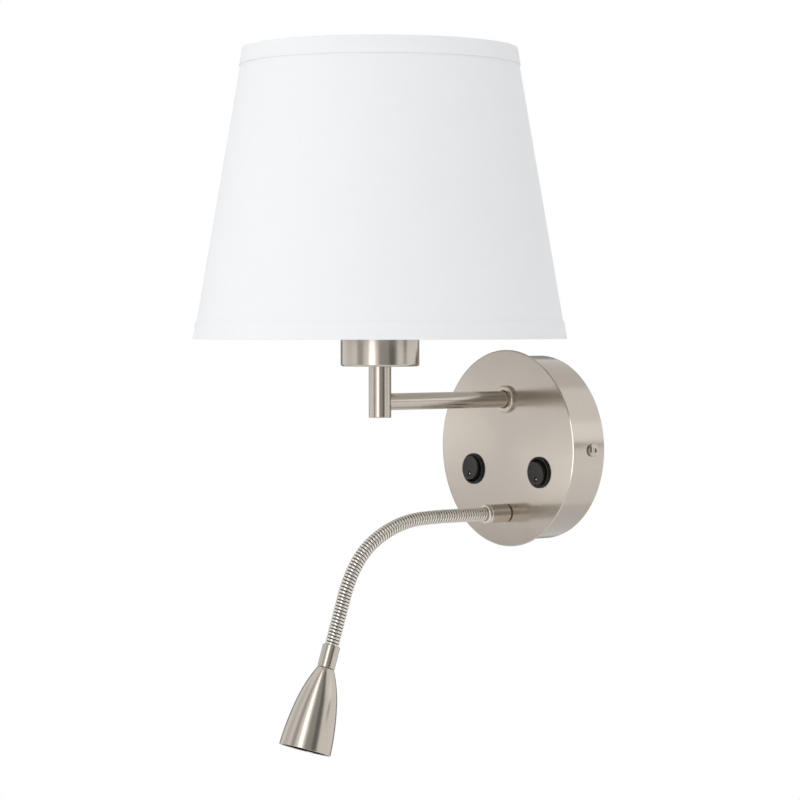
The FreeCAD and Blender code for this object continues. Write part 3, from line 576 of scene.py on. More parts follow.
@dataclass(frozen=True)
class Linen(Finish):
    """Closely woven white cloth that runs round a cone about the post."""

    girth: float
    thread: float = 0.00042
    light: tuple = (0.925, 0.932, 0.940)
    shadow: tuple = (0.848, 0.855, 0.865)

    def dress(self, desk: Desk) -> None:
        """Plain weave over and under, slubs in both threads, and a faint cloudiness."""
        x, y, z = desk.parts(desk.position(on_post()))
        bearing = y.bearing(x)
        count = 2 * round(self.girth / self.thread / 2)
        warp = bearing * (count / 2)
        weft = z * (math.pi / self.thread)
        weave = warp.sine() * weft.sine()
        over = weave.above(0.0)
        run = bearing * (self.girth / FULL_TURN)
        slub_up = desk.noise(desk.vector(run * 1500.0, z * 46.0, 0.0), 1.0, 3.0, 0.6)
        slub_round = desk.noise(desk.vector(run * 46.0, z * 1500.0, 3.0), 1.0, 3.0, 0.6)
        slub = slub_up * over + slub_round * (1.0 - over)
        cloud = desk.noise(desk.position(), 9.0, 3.0)
        tone = 0.22 + 0.34 * slub + 0.16 * weave.size() + 0.3 * cloud
        desk.shade(
            Base_Color=desk.blend(tone, self.shadow, self.light),
            Roughness=0.86 + 0.1 * slub,
            Sheen_Weight=0.12,
            Sheen_Roughness=0.5,
            Specular_IOR_Level=0.25,
            Normal=desk.bump(weave.size() * 0.6 + slub * 0.6, 0.00009),
        )


@dataclass(frozen=True)
class Laminate(Finish):
    """Matt white lining sheet, very slightly pebbled."""

    def dress(self, desk: Desk) -> None:
        """Pebbling with a faint warm drift."""
        spot = desk.position()
        pebble = desk.noise(spot, 1400.0, 2.0)
        drift = desk.noise(spot, 14.0, 3.0)
        desk.shade(
            Base_Color=desk.blend(drift, (0.84, 0.84, 0.825), (0.90, 0.90, 0.89)),
            Roughness=0.55 + 0.1 * pebble,
            Normal=desk.bump(pebble, 0.00003),
        )


@dataclass(frozen=True)
class Enamel(Finish):
    """White enamel on wire, with a light orange peel and thin spots."""

    def dress(self, desk: Desk) -> None:
        """Orange peel and thin spots."""
        spot = desk.position()
        peel = desk.noise(spot, 700.0, 2.0)
        thin = desk.noise(spot, 55.0, 4.0, 0.7)
        desk.shade(
            Base_Color=desk.blend(thin, (0.78, 0.78, 0.765), (0.88, 0.88, 0.87)),
            Roughness=0.24 + 0.12 * thin,
            Coat_Weight=0.3,
            Normal=desk.bump(peel, 0.00003),
        )


@dataclass(frozen=True)
class OpalGlass(Finish):
    """Frosted opal glass, milky and slightly uneven."""

    def dress(self, desk: Desk) -> None:
        """A milky body under a soft gloss."""
        spot = desk.position()
        milk = desk.noise(spot, 26.0, 3.0)
        frost = desk.noise(spot, 2600.0, 2.0)
        desk.shade(
            Base_Color=desk.blend(milk, (0.86, 0.86, 0.85), (0.93, 0.93, 0.925)),
            Roughness=0.26 + 0.1 * frost,
            Transmission_Weight=0.15,
            Coat_Weight=0.35,
            Coat_Roughness=0.2,
            Normal=desk.bump(frost, 0.00001),
        )


@dataclass(frozen=True)
class ClearLens(Finish):
    """Clear moulded lens with fine rings about its own axis."""

    place: Matrix

    def dress(self, desk: Desk) -> None:
        """Concentric rings and a trace of moulding haze."""
        spot = desk.position(self.place)
        x, y, _ = desk.parts(spot)
        ring = ((x * x + y * y).root() * (FULL_TURN / 0.0011)).sine()
        haze = desk.noise(spot, 300.0, 2.0)
        desk.shade(
            Base_Color=desk.blend(haze, (0.93, 0.95, 0.96), (0.98, 0.99, 1.0)),
            Roughness=0.03 + 0.04 * haze,
            IOR=1.49,
            Transmission_Weight=0.92,
            Normal=desk.bump(ring * 0.5 + 0.5, 0.00008),
        )


@dataclass(frozen=True)
class Mirror(Finish):
    """Vacuum-metallised plastic with small peened facets."""

    def dress(self, desk: Desk) -> None:
        """Facets as a soft cell pattern."""
        spot = desk.position()
        facet = desk.cells(spot, 520.0)
        haze = desk.noise(spot, 200.0, 2.0)
        desk.shade(
            Base_Color=desk.blend(haze, (0.80, 0.80, 0.80), (0.90, 0.90, 0.895)),
            Roughness=0.05 + 0.06 * haze,
            Metallic=1.0,
            Normal=desk.bump(facet, 0.0003),
        )


@dataclass(frozen=True)
class Phosphor(Finish):
    """Yellow phosphor dot on a white light board."""

    def dress(self, desk: Desk) -> None:
        """Grainy silicone with darker specks."""
        spot = desk.position()
        grit = desk.noise(spot, 5200.0, 3.0, 0.7)
        desk.shade(
            Base_Color=desk.blend(grit, (0.82, 0.55, 0.08), (0.95, 0.76, 0.20)),
            Roughness=0.28 + 0.2 * grit,
            Coat_Weight=0.4,
            Normal=desk.bump(grit, 0.00003),
        )


@dataclass(frozen=True)
class Insulation(Finish):
    """Smooth wire insulation with a faint extrusion grain."""

    tone: tuple

    def dress(self, desk: Desk) -> None:
        """Shallow bumps and dust that lightens the colour."""
        spot = desk.position()
        dust = desk.noise(spot, 900.0, 3.0, 0.6)
        sag = desk.noise(spot, 160.0, 2.0)
        paler = tuple(c * 0.8 + 0.05 for c in self.tone)
        desk.shade(
            Base_Color=desk.blend(dust * 0.5 + sag * 0.5, self.tone, paler),
            Roughness=0.42 + 0.16 * dust,
            Normal=desk.bump(sag + dust * 0.3, 0.00005),
        )


BLACK = Moulded("black_switch_plastic", "black_plastic", (0.0085, 0.0075, 0.0062),
                (0.0150, 0.0135, 0.0115), 0.34, 0.35, gloss=0.25)
BEZEL = Moulded("black_bezel_plastic", "black_plastic", (0.0040, 0.0035, 0.0030),
                (0.0080, 0.0070, 0.0060), 0.26, gloss=0.3)
ZINC = PlatedSteel("zinc_plate", "zinc")
BRASS = Brass("stamped_brass", "brass")
HOLDER = Moulded("holder_thermoset", "holder_plastic", (0.80, 0.79, 0.755),
                 (0.86, 0.85, 0.82), 0.38)
DRIVER = Moulded("driver_casing", "driver_plastic", (0.77, 0.77, 0.755), (0.84, 0.84, 0.83), 0.5,
                 grain=1500.0, depth=0.00004)
NYLON = Moulded("terminal_nylon", "terminal_plastic", (0.70, 0.70, 0.66), (0.80, 0.80, 0.77), 0.42)
BOARD = Moulded("light_board", "board", (0.80, 0.80, 0.78), (0.87, 0.87, 0.86), 0.3)
SINK = PlatedSteel("turned_aluminium", "aluminium", (0.74, 0.74, 0.75), (0.62, 0.62, 0.64), 0.3)
CAP_METAL = PlatedSteel("tinned_cap", "cap_metal", (0.76, 0.76, 0.77), (0.64, 0.64, 0.66), 0.22)
ENAMEL = Enamel("white_enamel", "white_wire")
LINING = Laminate("white_lining", "styrene")
OPAL = OpalGlass("opal_glass", "bulb_glass")
PEENED = Mirror("peened_mirror", "reflector")
GLOW = Phosphor("phosphor", "led_yellow")
BROWN = Insulation("brown_insulation", "wire_brown", (0.18, 0.075, 0.03))
BLUE = Insulation("blue_insulation", "wire_blue", (0.035, 0.12, 0.42))
DARK = Insulation("black_insulation", "wire_black", (0.018, 0.018, 0.018))


# ---- pieces ------------------------------------------------------------------------

def finish_piece(name: str, work: bmesh.types.BMesh, place: Matrix, finish: Finish,
                 body: str | None = BASE, nodes: Sequence[str] = ()) -> bpy.types.Object:
    """Turn worked mesh into a piece of the lamp.

    Args:
        name: The piece's name.
        work: Its mesh, in its own place; it is freed.
        place: Where it goes in the lamp's frame.
        finish: What it is finished in.
        body: The CAD body that it rides on, or None to leave it on no body.
        nodes: The CAD nodes that it stands for.

    Returns:
        The piece's object, at the origin with its place in its mesh.
    """
    work.transform(place)
    mesh = bpy.data.meshes.new(name)
    work.to_mesh(mesh)
    work.free()
    mesh.shade_smooth()
    mesh.materials.append(finish.material())
    piece = bpy.data.objects.new(name, mesh)
    bpy.context.scene.collection.objects.link(piece)
    smooth = piece.modifiers.new("even_normals", "WEIGHTED_NORMAL")
    smooth.weight = 60
    if nodes:
        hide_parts(*nodes)
    if body:
        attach(piece, body)
    LOG.info("%s: %d faces in %s", name, len(mesh.polygons), finish.name)
    return piece


def dress_nodes(finish: Finish, *names: str) -> None:
    """Give CAD nodes whose shape stays a detailed finish."""
    for name in names:
        mesh = frame["nodes"][name].data
        mesh.materials.clear()
        mesh.materials.append(finish.material())
        LOG.info("%s: CAD shape in %s", name, finish.name)


@dataclass
class Canopy:
    """Round wall canopy: face plate, drum, bracket, its screws and lock nuts."""

    rim: float = 0.0006
    rim_lean: float = 0.00025
    plate_steps: int = 256
    screw_head: float = 0.00475
    screw_dome: float = 0.0026
    screw_rim: float = 0.0015
    screw_gap: float = 0.0008
    socket_flats: float = 0.0032
    socket_deep: float = 0.0016
    drum_wall: float = 0.0012
    drum_lip: float = 0.003
    stud_hole: float = 0.0051
    switch_hole: float = 0.0102

    def __post_init__(self) -> None:
        """Read the plate's and the drum's sizes from the frame."""
        low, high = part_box("front_plate")
        self.plate_radius = (high.x - low.x) / 2
        self.plate_thick = high.y - low.y
        self.plate_front = -low.y
        self.drum_radius = extent("canopy_drum").x / 2
        self.drum_deep = extent("canopy_drum").y
        self.arm_height = middle("arm_rod").z
        self.neck_height = middle("neck_fitting").z

    def plate(self) -> None:
        """The face plate, a disc with a hole for each thing that passes through it."""
        work = bmesh.new()
        switch = middle("switch_right_housing")
        holes = [
            (self.plate_radius, 0.0, 0.0, self.plate_steps),
            (self.stud_hole, 0.0, self.arm_height, 48),
            (self.stud_hole, 0.0, self.neck_height, 48),
            (self.switch_hole, switch.x, switch.z, 72),
            (self.switch_hole, -switch.x, switch.z, 72),
        ]
        for radius, x, y, steps in holes:
            bmesh.ops.create_circle(work, cap_ends=False, radius=radius, segments=steps,
                                    matrix=Matrix.Translation((x, y, 0)))
        bmesh.ops.triangle_fill(work, use_beauty=True, edges=work.edges)
        grown = bmesh.ops.extrude_face_region(work, geom=work.faces[:])
        top = [g for g in grown["geom"] if isinstance(g, bmesh.types.BMVert)]
        bmesh.ops.translate(work, vec=(0, 0, self.plate_thick), verts=top)
        tidy_faces(work)
        middle_radius = self.plate_radius * 0.98

        def at_rim(edge: bmesh.types.BMEdge) -> bool:
            """Whether an edge lies on the plate's outer rim."""
            return min(v.co.xy.length for v in edge.verts) > middle_radius

        def at_hole(edge: bmesh.types.BMEdge) -> bool:
            """Whether an edge lies on one of the holes."""
            return not at_rim(edge)

        soften(work, self.rim, 1, at_rim)
        inner = self.plate_radius - self.rim
        lean = 1 - self.rim_lean / inner
        polar_scale(work, lambda bearing: lean,
                    lambda v: v.co.z > self.plate_thick - 1e-6 and v.co.xy.length > inner - 1e-5)
        soften(work, self.rim / 6, 1, at_rim)
        soften(work, 0.00012, 2, at_hole)
        finish = SpunNickel("plate_nickel", "nickel", off_wall(), light=(0.610, 0.560, 0.495),
                            dark=(0.450, 0.407, 0.357), roughness=0.14, depth=0.000004)
        place = off_wall(out=self.plate_front - self.plate_thick)
        finish_piece("canopy_face_plate", work, place, finish, nodes=["front_plate"])

    def drum(self) -> None:
        """The open-backed drum with its turned-in lip and a rolled back edge."""
        wall, lip = self.drum_wall, self.drum_lip
        outer = self.drum_radius
        deep = self.drum_deep
        outline = [
            (outer - wall, 0.0), (outer, 0.0), (outer, deep - wall),
            *bow((outer, deep - wall), (outer - wall, deep), wall, 1, 5),
            (outer - wall, deep), (outer - lip, deep), (outer - lip, deep - wall),
            (outer - wall, deep - wall),
        ]
        finish = SatinNickel("drum_nickel", "nickel", off_wall())
        work = turned(outline, self.plate_steps, 0.0002)
        finish_piece("canopy_drum_shell", work, off_wall(), finish, nodes=["canopy_drum"])

    def screw(self, side: int) -> bmesh.types.BMesh:
        """One button-head screw with a hexagonal socket, in the lamp's frame."""
        hexagon = self.socket_flats / math.sqrt(3)
        top, floor = self.screw_dome, self.screw_dome - self.socket_deep
        shank, depth = 0.0024, -0.0068
        outline = [
            (0.0, depth), (shank - 0.0004, depth), (shank, depth + 0.0004),
            *ridges(shank, 0.0003, depth + 0.0004, -0.0004, 0.0008),
            (shank, 0.0), (self.screw_head - 0.0007, 0.0),
            (self.screw_head - 0.0006, self.screw_gap), (self.screw_head, self.screw_gap),
            (self.screw_head, self.screw_rim),
            *bow((self.screw_head, self.screw_rim), (hexagon + 0.0007, top), 0.0058, 1, 10)[1:],
            (hexagon + 0.0007, top), (hexagon, top - 0.0002), (hexagon, floor),
            (0.0, floor - 0.0003),
        ]
        work = turned(outline, 96, 0.00008, segments=2)
        flat = math.cos(math.pi / 6)

        def hexed(bearing: float) -> float:
            """How far in a round socket wall moves to become a hexagon's side."""
            inside = (bearing + math.pi / 6) % (math.pi / 3) - math.pi / 6
            return flat / math.cos((inside + math.pi / 6) % (math.pi / 3) - math.pi / 6)

        polar_scale(work, hexed, lambda v: 0.0001 < v.co.xy.length < hexagon + 0.0001
                    and v.co.z > floor - 0.0002)
        turn = Matrix.Rotation(math.pi / 2 * side, 4, "Y")
        seat = Vector((self.drum_radius * side, middle("side_screws").y, middle("side_screws").z))
        work.transform(Matrix.Translation(seat) @ turn)
        return work

    def screws(self) -> None:
        """Both side screws."""
        turn = Matrix.Rotation(math.pi / 2, 4, "Y")
        finish = SatinNickel("screw_nickel", "nickel", turn)
        work = gathered([self.screw(1), self.screw(-1)])
        finish_piece("side_screw_pair", work, Matrix(), finish, nodes=["side_screws"])

    def earth(self) -> None:
        """The earth screw on the bracket, with a slotted washer head."""
        low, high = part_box("earth_screw")
        head = (high.x - low.x) / 2
        stem = head - 0.0017
        length = high.y - low.y
        top = length - 0.0004
        outline = [
            (0.0, 0.0), (stem, 0.0), (stem, length - 0.0024), (head, length - 0.0024),
            *bow((head, top - 0.0008), (head - 0.0010, top), 0.0012, 1, 5), (head - 0.0010, top),
            (0.0, length),
        ]
        slot = block((head * 2.4, 0.0009, 0.0002), (0, 0, length + 0.00005), 0.00003)
        work = gathered([turned(outline, 64, 0.0001), slot])
        place = off_wall(middle("earth_screw").x, middle("earth_screw").z, -high.y)
        finish_piece("earth_screw_head", work, place, BRASS, nodes=["earth_screw"])

    def build(self) -> None:
        """Make every piece of the canopy."""
        self.plate()
        self.drum()
        self.screws()
        self.earth()
        dress_nodes(ZINC, "wall_bracket", "arm_washer", "arm_lock_nut", "neck_washer",
                    "neck_lock_nut")


@dataclass
class RockerSwitch:
    """Round rocker switch clipped into the plate, on one side of the canopy."""

    side: str
    tilt: float = math.radians(6.0)
    bezel_proud: float = 0.0018
    bore: float = 0.0096
    well: float = 0.0080
    well_floor: float = 0.0090
    step: float = 0.0022
    rocker_gap: float = 0.0005
    rocker_most: float = 0.0087
    face_proud: float = 0.0042
    disc_thick: float = 0.0052
    disc_rim: float = 0.0007
    dish: float = 0.0003
    dot: float = 0.0019
    dot_deep: float = 0.0014
    stud_radius: float = 0.0007

    def __post_init__(self) -> None:
        """Find the switch in the frame."""
        low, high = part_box(f"switch_{self.side}_housing")
        self.centre = (low + high) / 2
        self.bezel = (high.x - low.x) / 2
        self.deep = high.y - low.y - self.bezel_proud
        self.seat = -low.y - self.bezel_proud
        joint = next(j for j in frame["joints"] if j["name"] == f"{self.side}_rocker_tilt")
        self.pivot = Vector(joint["pos_m"])
        self.pivot_deep = self.seat + self.pivot.y
        self.sign = 1 if self.side == "left" else -1

    def housing(self) -> None:
        """Bezel, bore, stepped well and barrel, with two spring clips behind the plate."""
        outer, top, bore = self.bezel, self.bezel_proud, self.bore
        barrel = outer - 0.0015
        rounded = 0.0008
        outline = [
            (0.0, -self.deep), (barrel, -self.deep), (barrel, 0.0), (outer, 0.0),
            (outer, top - rounded),
            *bow((outer, top - rounded), (outer - rounded, top), rounded, 1, 6)[1:],
            (outer - rounded, top), (bore + 0.0004, top), (bore, top - 0.0004),
            (bore, -self.step), (self.well, -self.step), (self.well, -self.well_floor),
            (0.0, -self.well_floor),
        ]
        parts = [turned(outline, 128, 0.00012)]
        for way in (-1, 1):
            clip = block((0.0012, 0.0050, 0.0062), (way * (barrel + 0.0003), 0, -0.0062), 0.0004)
            parts.append(clip)
        place = off_wall(self.centre.x, self.centre.z, self.seat)
        finish_piece(f"{self.side}_switch_body", gathered(parts), place, BEZEL,
                     nodes=[f"switch_{self.side}_housing"])

    def disc(self, radius: float, face: float) -> bmesh.types.BMesh:
        """The rocker's slightly dished disc, its face at a height over the pin."""
        low = face - self.disc_thick
        rim = self.disc_rim
        inner = radius - rim
        count = 16
        dished = [
            (inner * (1 - n / count), face - self.dish * (1 - (1 - n / count) ** 2))
            for n in range(count + 1)
        ]
        outline = [
            (0.0, low), (radius, low), (radius, face - rim),
            *bow((radius, face - rim), (inner, face), rim, 1, 5)[1:], *dished,
        ]
        return turned(outline, 120, 0.00015)

    def press_dimple(self, disc: bmesh.types.BMesh, centre: Vector, low: float) -> None:
        """Press the dimple into the disc's face.

        Args:
            disc: The disc.
            centre: The dimple's centre on the face.
            low: Height of the disc's back.
        """
        def near_dot(edge: bmesh.types.BMEdge) -> bool:
            """Whether an edge of the face lies beside the dimple."""
            return all(v.co.z > low + 0.002 and (v.co.xy - centre).length < 1.3 * self.dot
                       for v in edge.verts)

        bmesh.ops.subdivide_edges(disc, edges=[e for e in disc.edges if near_dot(e)], cuts=1,
                                  use_grid_fill=True)
        for vert in disc.verts:
            away = (vert.co.xy - centre).length / self.dot
            if away < 1 and vert.co.z > low + 0.002:
                vert.co.z -= self.dot_deep * (1 - away**4)

    def stud(self, place: Matrix, centre: Vector, face: float) -> None:
        """The small bright stud in the dimple."""
        foot = face - self.dot_deep - 0.0008
        crown = face - 0.0003
        shoulder = crown - 0.0004
        dome = [(0.0, foot), (self.stud_radius, foot), (self.stud_radius, shoulder),
                *bow((self.stud_radius, shoulder), (0.0, crown), 0.0008, 1, 8)[1:], (0.0, crown)]
        work = turned(dome, 40, 0.0)
        bmesh.ops.translate(work, vec=(*centre, 0.0), verts=work.verts)
        finish_piece(f"{self.side}_rocker_stud", work, place,
                     SatinNickel("stud_nickel", "nickel", Matrix()), f"{self.side}_rocker")

    def rocker(self) -> None:
        """The rocker: its dimpled disc on a stem and a pin, and the stud."""
        radius = extent(f"switch_{self.side}_rocker").x / 2 - self.rocker_gap
        radius = min(radius, self.rocker_most)
        face = self.pivot_deep + self.face_proud
        low = face - self.disc_thick
        disc = self.disc(radius, face)
        centre = Vector((0.0, -0.5 * radius))
        self.press_dimple(disc, centre, low)
        stem_low = -0.0016
        stem = block((0.0144, 0.0040, low - stem_low), (0, 0, (low + stem_low) / 2), 0.0003)
        pin = turned([(0.0, -0.0092), (0.0012, -0.0092), (0.0012, 0.0092), (0.0, 0.0092)], 32,
                     0.0001)
        pin.transform(Matrix.Rotation(math.pi / 2, 4, "Y"))
        place = off_wall(self.pivot.x, self.pivot.z, -self.pivot.y)
        place = place @ Matrix.Rotation(-self.sign * self.tilt, 4, "X")
        finish_piece(f"{self.side}_switch_rocker", gathered([disc, stem, pin]), place, BLACK,
                     f"{self.side}_rocker", [f"switch_{self.side}_rocker"])
        self.stud(place, centre, face)

    def build(self) -> None:
        """Make the switch and dress its brass blades."""
        self.housing()
        self.rocker()
        dress_nodes(BRASS, f"switch_{self.side}_terminals")


@dataclass
class ArmAndPost:
    """The arm with its flange ring, the post, and the cup that holds the lampholder."""

    post_edge: float = 0.0008
    cup_wall: float = 0.0012
    cup_round: float = 0.0018
    stem_hole: float = 0.0051

    def __post_init__(self) -> None:
        """Read the arm's, the post's and the cup's sizes from the frame."""
        self.height = middle("arm_rod").z
        self.rod = extent("arm_rod").x / 2
        self.plate = -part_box("front_plate")[0].y
        self.post_radius = extent("post_tube").x / 2
        self.cup_low, self.cup_high = (corner.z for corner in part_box("socket_cup"))
        self.cup_radius = extent("socket_cup").x / 2

    def arm(self) -> None:
        """The round arm from behind the plate into the post's side."""
        stud, bore = self.rod - 0.0010, 0.0035
        start = -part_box("arm_rod")[1].y
        finish_at = -middle("post_tube").y - self.post_radius + 0.003
        outline = [
            (bore, start), (stud, start), *ridges(stud, 0.0004, start, self.plate - 0.0020, 0.001),
            (stud, self.plate), (self.rod, self.plate), (self.rod, finish_at), (bore, finish_at),
        ]
        place = off_wall(z=self.height)
        finish = SatinNickel("arm_nickel", "nickel", place)
        finish_piece("arm_tube", turned(outline, 96, 0.0001), place, finish, nodes=["arm_rod"])

    def flange(self) -> None:
        """The ring that covers the arm's root on the plate."""
        outer = extent("arm_flange").x / 2
        thick = extent("arm_flange").y
        inner = self.rod + 0.00005
        rounded = 0.0011
        outline = [
            (inner, 0.0), (outer, 0.0), (outer, thick - rounded),
            *bow((outer, thick - rounded), (outer - rounded, thick), rounded, 1, 7)[1:],
            (outer - rounded, thick), (inner + 0.0009, thick), (inner, thick - 0.0009),
        ]
        place = off_wall(z=self.height, out=self.plate)
        finish = SatinNickel("flange_nickel", "nickel", place, Grain.FACED)
        finish_piece("arm_flange_ring", turned(outline, 128, 0.00015), place, finish,
                     nodes=["arm_flange"])

    def post(self) -> None:
        """The short upright post, closed at its foot."""
        low, high = (corner.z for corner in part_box("post_tube"))
        radius, edge, bore = self.post_radius, self.post_edge, 0.00505
        outline = [
            (0.0, low), (radius - edge, low),
            *bow((radius - edge, low), (radius, low + edge), edge, 1, 6)[1:],
            (radius, low + edge), (radius, high), (bore, high), (bore, low + 0.004),
            (0.0, low + 0.004),
        ]
        finish = SatinNickel("post_nickel", "nickel", on_post())
        finish_piece("post_sleeve", turned(outline, 96, 0.0001), on_post(), finish,
                     nodes=["post_tube"])

    def cup(self) -> None:
        """The open cup, its lower edge rounded over."""
        low, high, radius, wall = self.cup_low, self.cup_high, self.cup_radius, self.cup_wall
        inner = radius - wall
        outline = [
            (self.stem_hole, low), (radius - self.cup_round, low),
            *bow((radius - self.cup_round, low), (radius, low + self.cup_round), self.cup_round,
                 1, 8)[1:],
            (radius, low + self.cup_round), (radius, high), (inner, high),
            (inner, low + wall), (self.stem_hole, low + wall),
        ]
        finish = SatinNickel("cup_nickel", "nickel", on_post())
        finish_piece("lamp_cup", turned(outline, 192, 0.0003), on_post(), finish,
                     nodes=["socket_cup"])

    def build(self) -> None:
        """Make the arm, the post and the cup."""
        self.arm()
        self.flange()
        self.post()
        self.cup()
        dress_nodes(ZINC, "threaded_nipple", "cup_nut")


@dataclass
class Lampholder:
    """Insulating holder, its contacts and clamp ring, and the bulb."""

    notches: int = 24
    thread: float = 0.0026

    def holder(self) -> None:
        """The holder's body, threaded outside its skirt for the clamp ring."""
        low, high = (corner.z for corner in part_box("lampholder_body"))
        base = extent("lampholder_body").x / 2
        skirt, bore, seat, floor = 0.0190, 0.0142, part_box("shade_hub")[0].z, low + 0.0085
        stem = 0.00505
        outline = [
            (stem, low), (base - 0.001, low), (base, low + 0.001), (base, seat), (skirt, seat),
            *ridges(skirt, 0.0007, seat + 0.003, high - 0.002, self.thread),
            (skirt - 0.0010, high), (bore, high), (bore, floor), (stem, floor),
        ]
        finish_piece("holder_body", turned(outline, 128, 0.00025), on_post(), HOLDER,
                     nodes=["lampholder_body"])

    def clamp_ring(self) -> None:
        """The ring that holds the shade down, notched round its edge for the fingers."""
        low, high = (corner.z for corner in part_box("shade_clamp_ring"))
        edge = extent("shade_clamp_ring").x / 2
        inner = 0.0191
        outline = [
            (inner, low), (edge, low), (edge, low + 0.0025), (inner + 0.0033, high - 0.0004),
            (inner + 0.0029, high), (inner, high),
        ]
        work = turned(outline, 240, 0.0003)

        def notched(bearing: float) -> float:
            """Shallow scoops, one for each notch."""
            return 1 - 0.028 * max(0.0, math.cos(bearing * self.notches)) ** 2

        polar_scale(work, notched, lambda v: v.co.xy.length > edge - 0.0012)
        finish_piece("shade_ring_nut", work, on_post(), HOLDER, nodes=["shade_clamp_ring"])

    def contact_shell(self) -> None:
        """The brass shell that the bulb's cap screws into."""
        low, high = (corner.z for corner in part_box("contact_shell"))
        outer = extent("contact_shell").x / 2
        thick = 0.0005
        wavy = ridges(outer, 0.0006, low + 0.006, high - 0.002, 0.0036)
        outline = [
            (outer - 0.008, low), (outer, low), *wavy, (outer, high), (outer - thick, high),
            *[(r - thick, h) for r, h in reversed(wavy)], (outer - thick, low + thick),
            (outer - 0.008, low + thick),
        ]
        finish_piece("holder_contact_shell", turned(outline, 96, 0.0), on_post(), BRASS,
                     nodes=["contact_shell"])

    def bulb(self) -> None:
        """The frosted bulb and its rolled-thread cap."""
        low, high = (corner.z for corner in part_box("bulb_cap"))
        radius = extent("bulb_cap").x / 2 - 0.0002
        outline = [
            (0.0, low), (0.0045, low), (0.0060, low + 0.002), (radius - 0.001, low + 0.006),
            *ridges(radius, 0.0009, low + 0.007, high - 0.005, 0.0036), (radius, high - 0.002),
            (radius, high), (radius - 0.0006, high), (0.0, high - 0.001),
        ]
        finish_piece("bulb_screw_cap", turned(outline, 96, 0.0002), on_post(), CAP_METAL,
                     nodes=["bulb_cap"])
        foot, top = (corner.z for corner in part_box("bulb_glass"))
        outer = extent("bulb_glass").x / 2
        crown, throat, waist = top - outer, 0.0125, high + 0.003
        glass = [
            (throat, foot), (throat, waist), *bow((throat, waist), (outer, crown), 0.110, -1)[1:],
            *bow((outer, crown), (0.0, top), outer, 1, 24), (0.0, top),
        ]
        work = turned(glass, 128, 0.0, closed=False)
        piece = finish_piece("bulb_globe", work, on_post(), OPAL, nodes=["bulb_glass"])
        wall = piece.modifiers.new("glass_wall", "SOLIDIFY")
        wall.thickness = 0.0008
        wall.offset = -1

    def build(self) -> None:
        """Make the lampholder and the bulb."""
        self.holder()
        self.clamp_ring()
        self.contact_shell()
        self.bulb()
        dress_nodes(BRASS, "centre_contact")


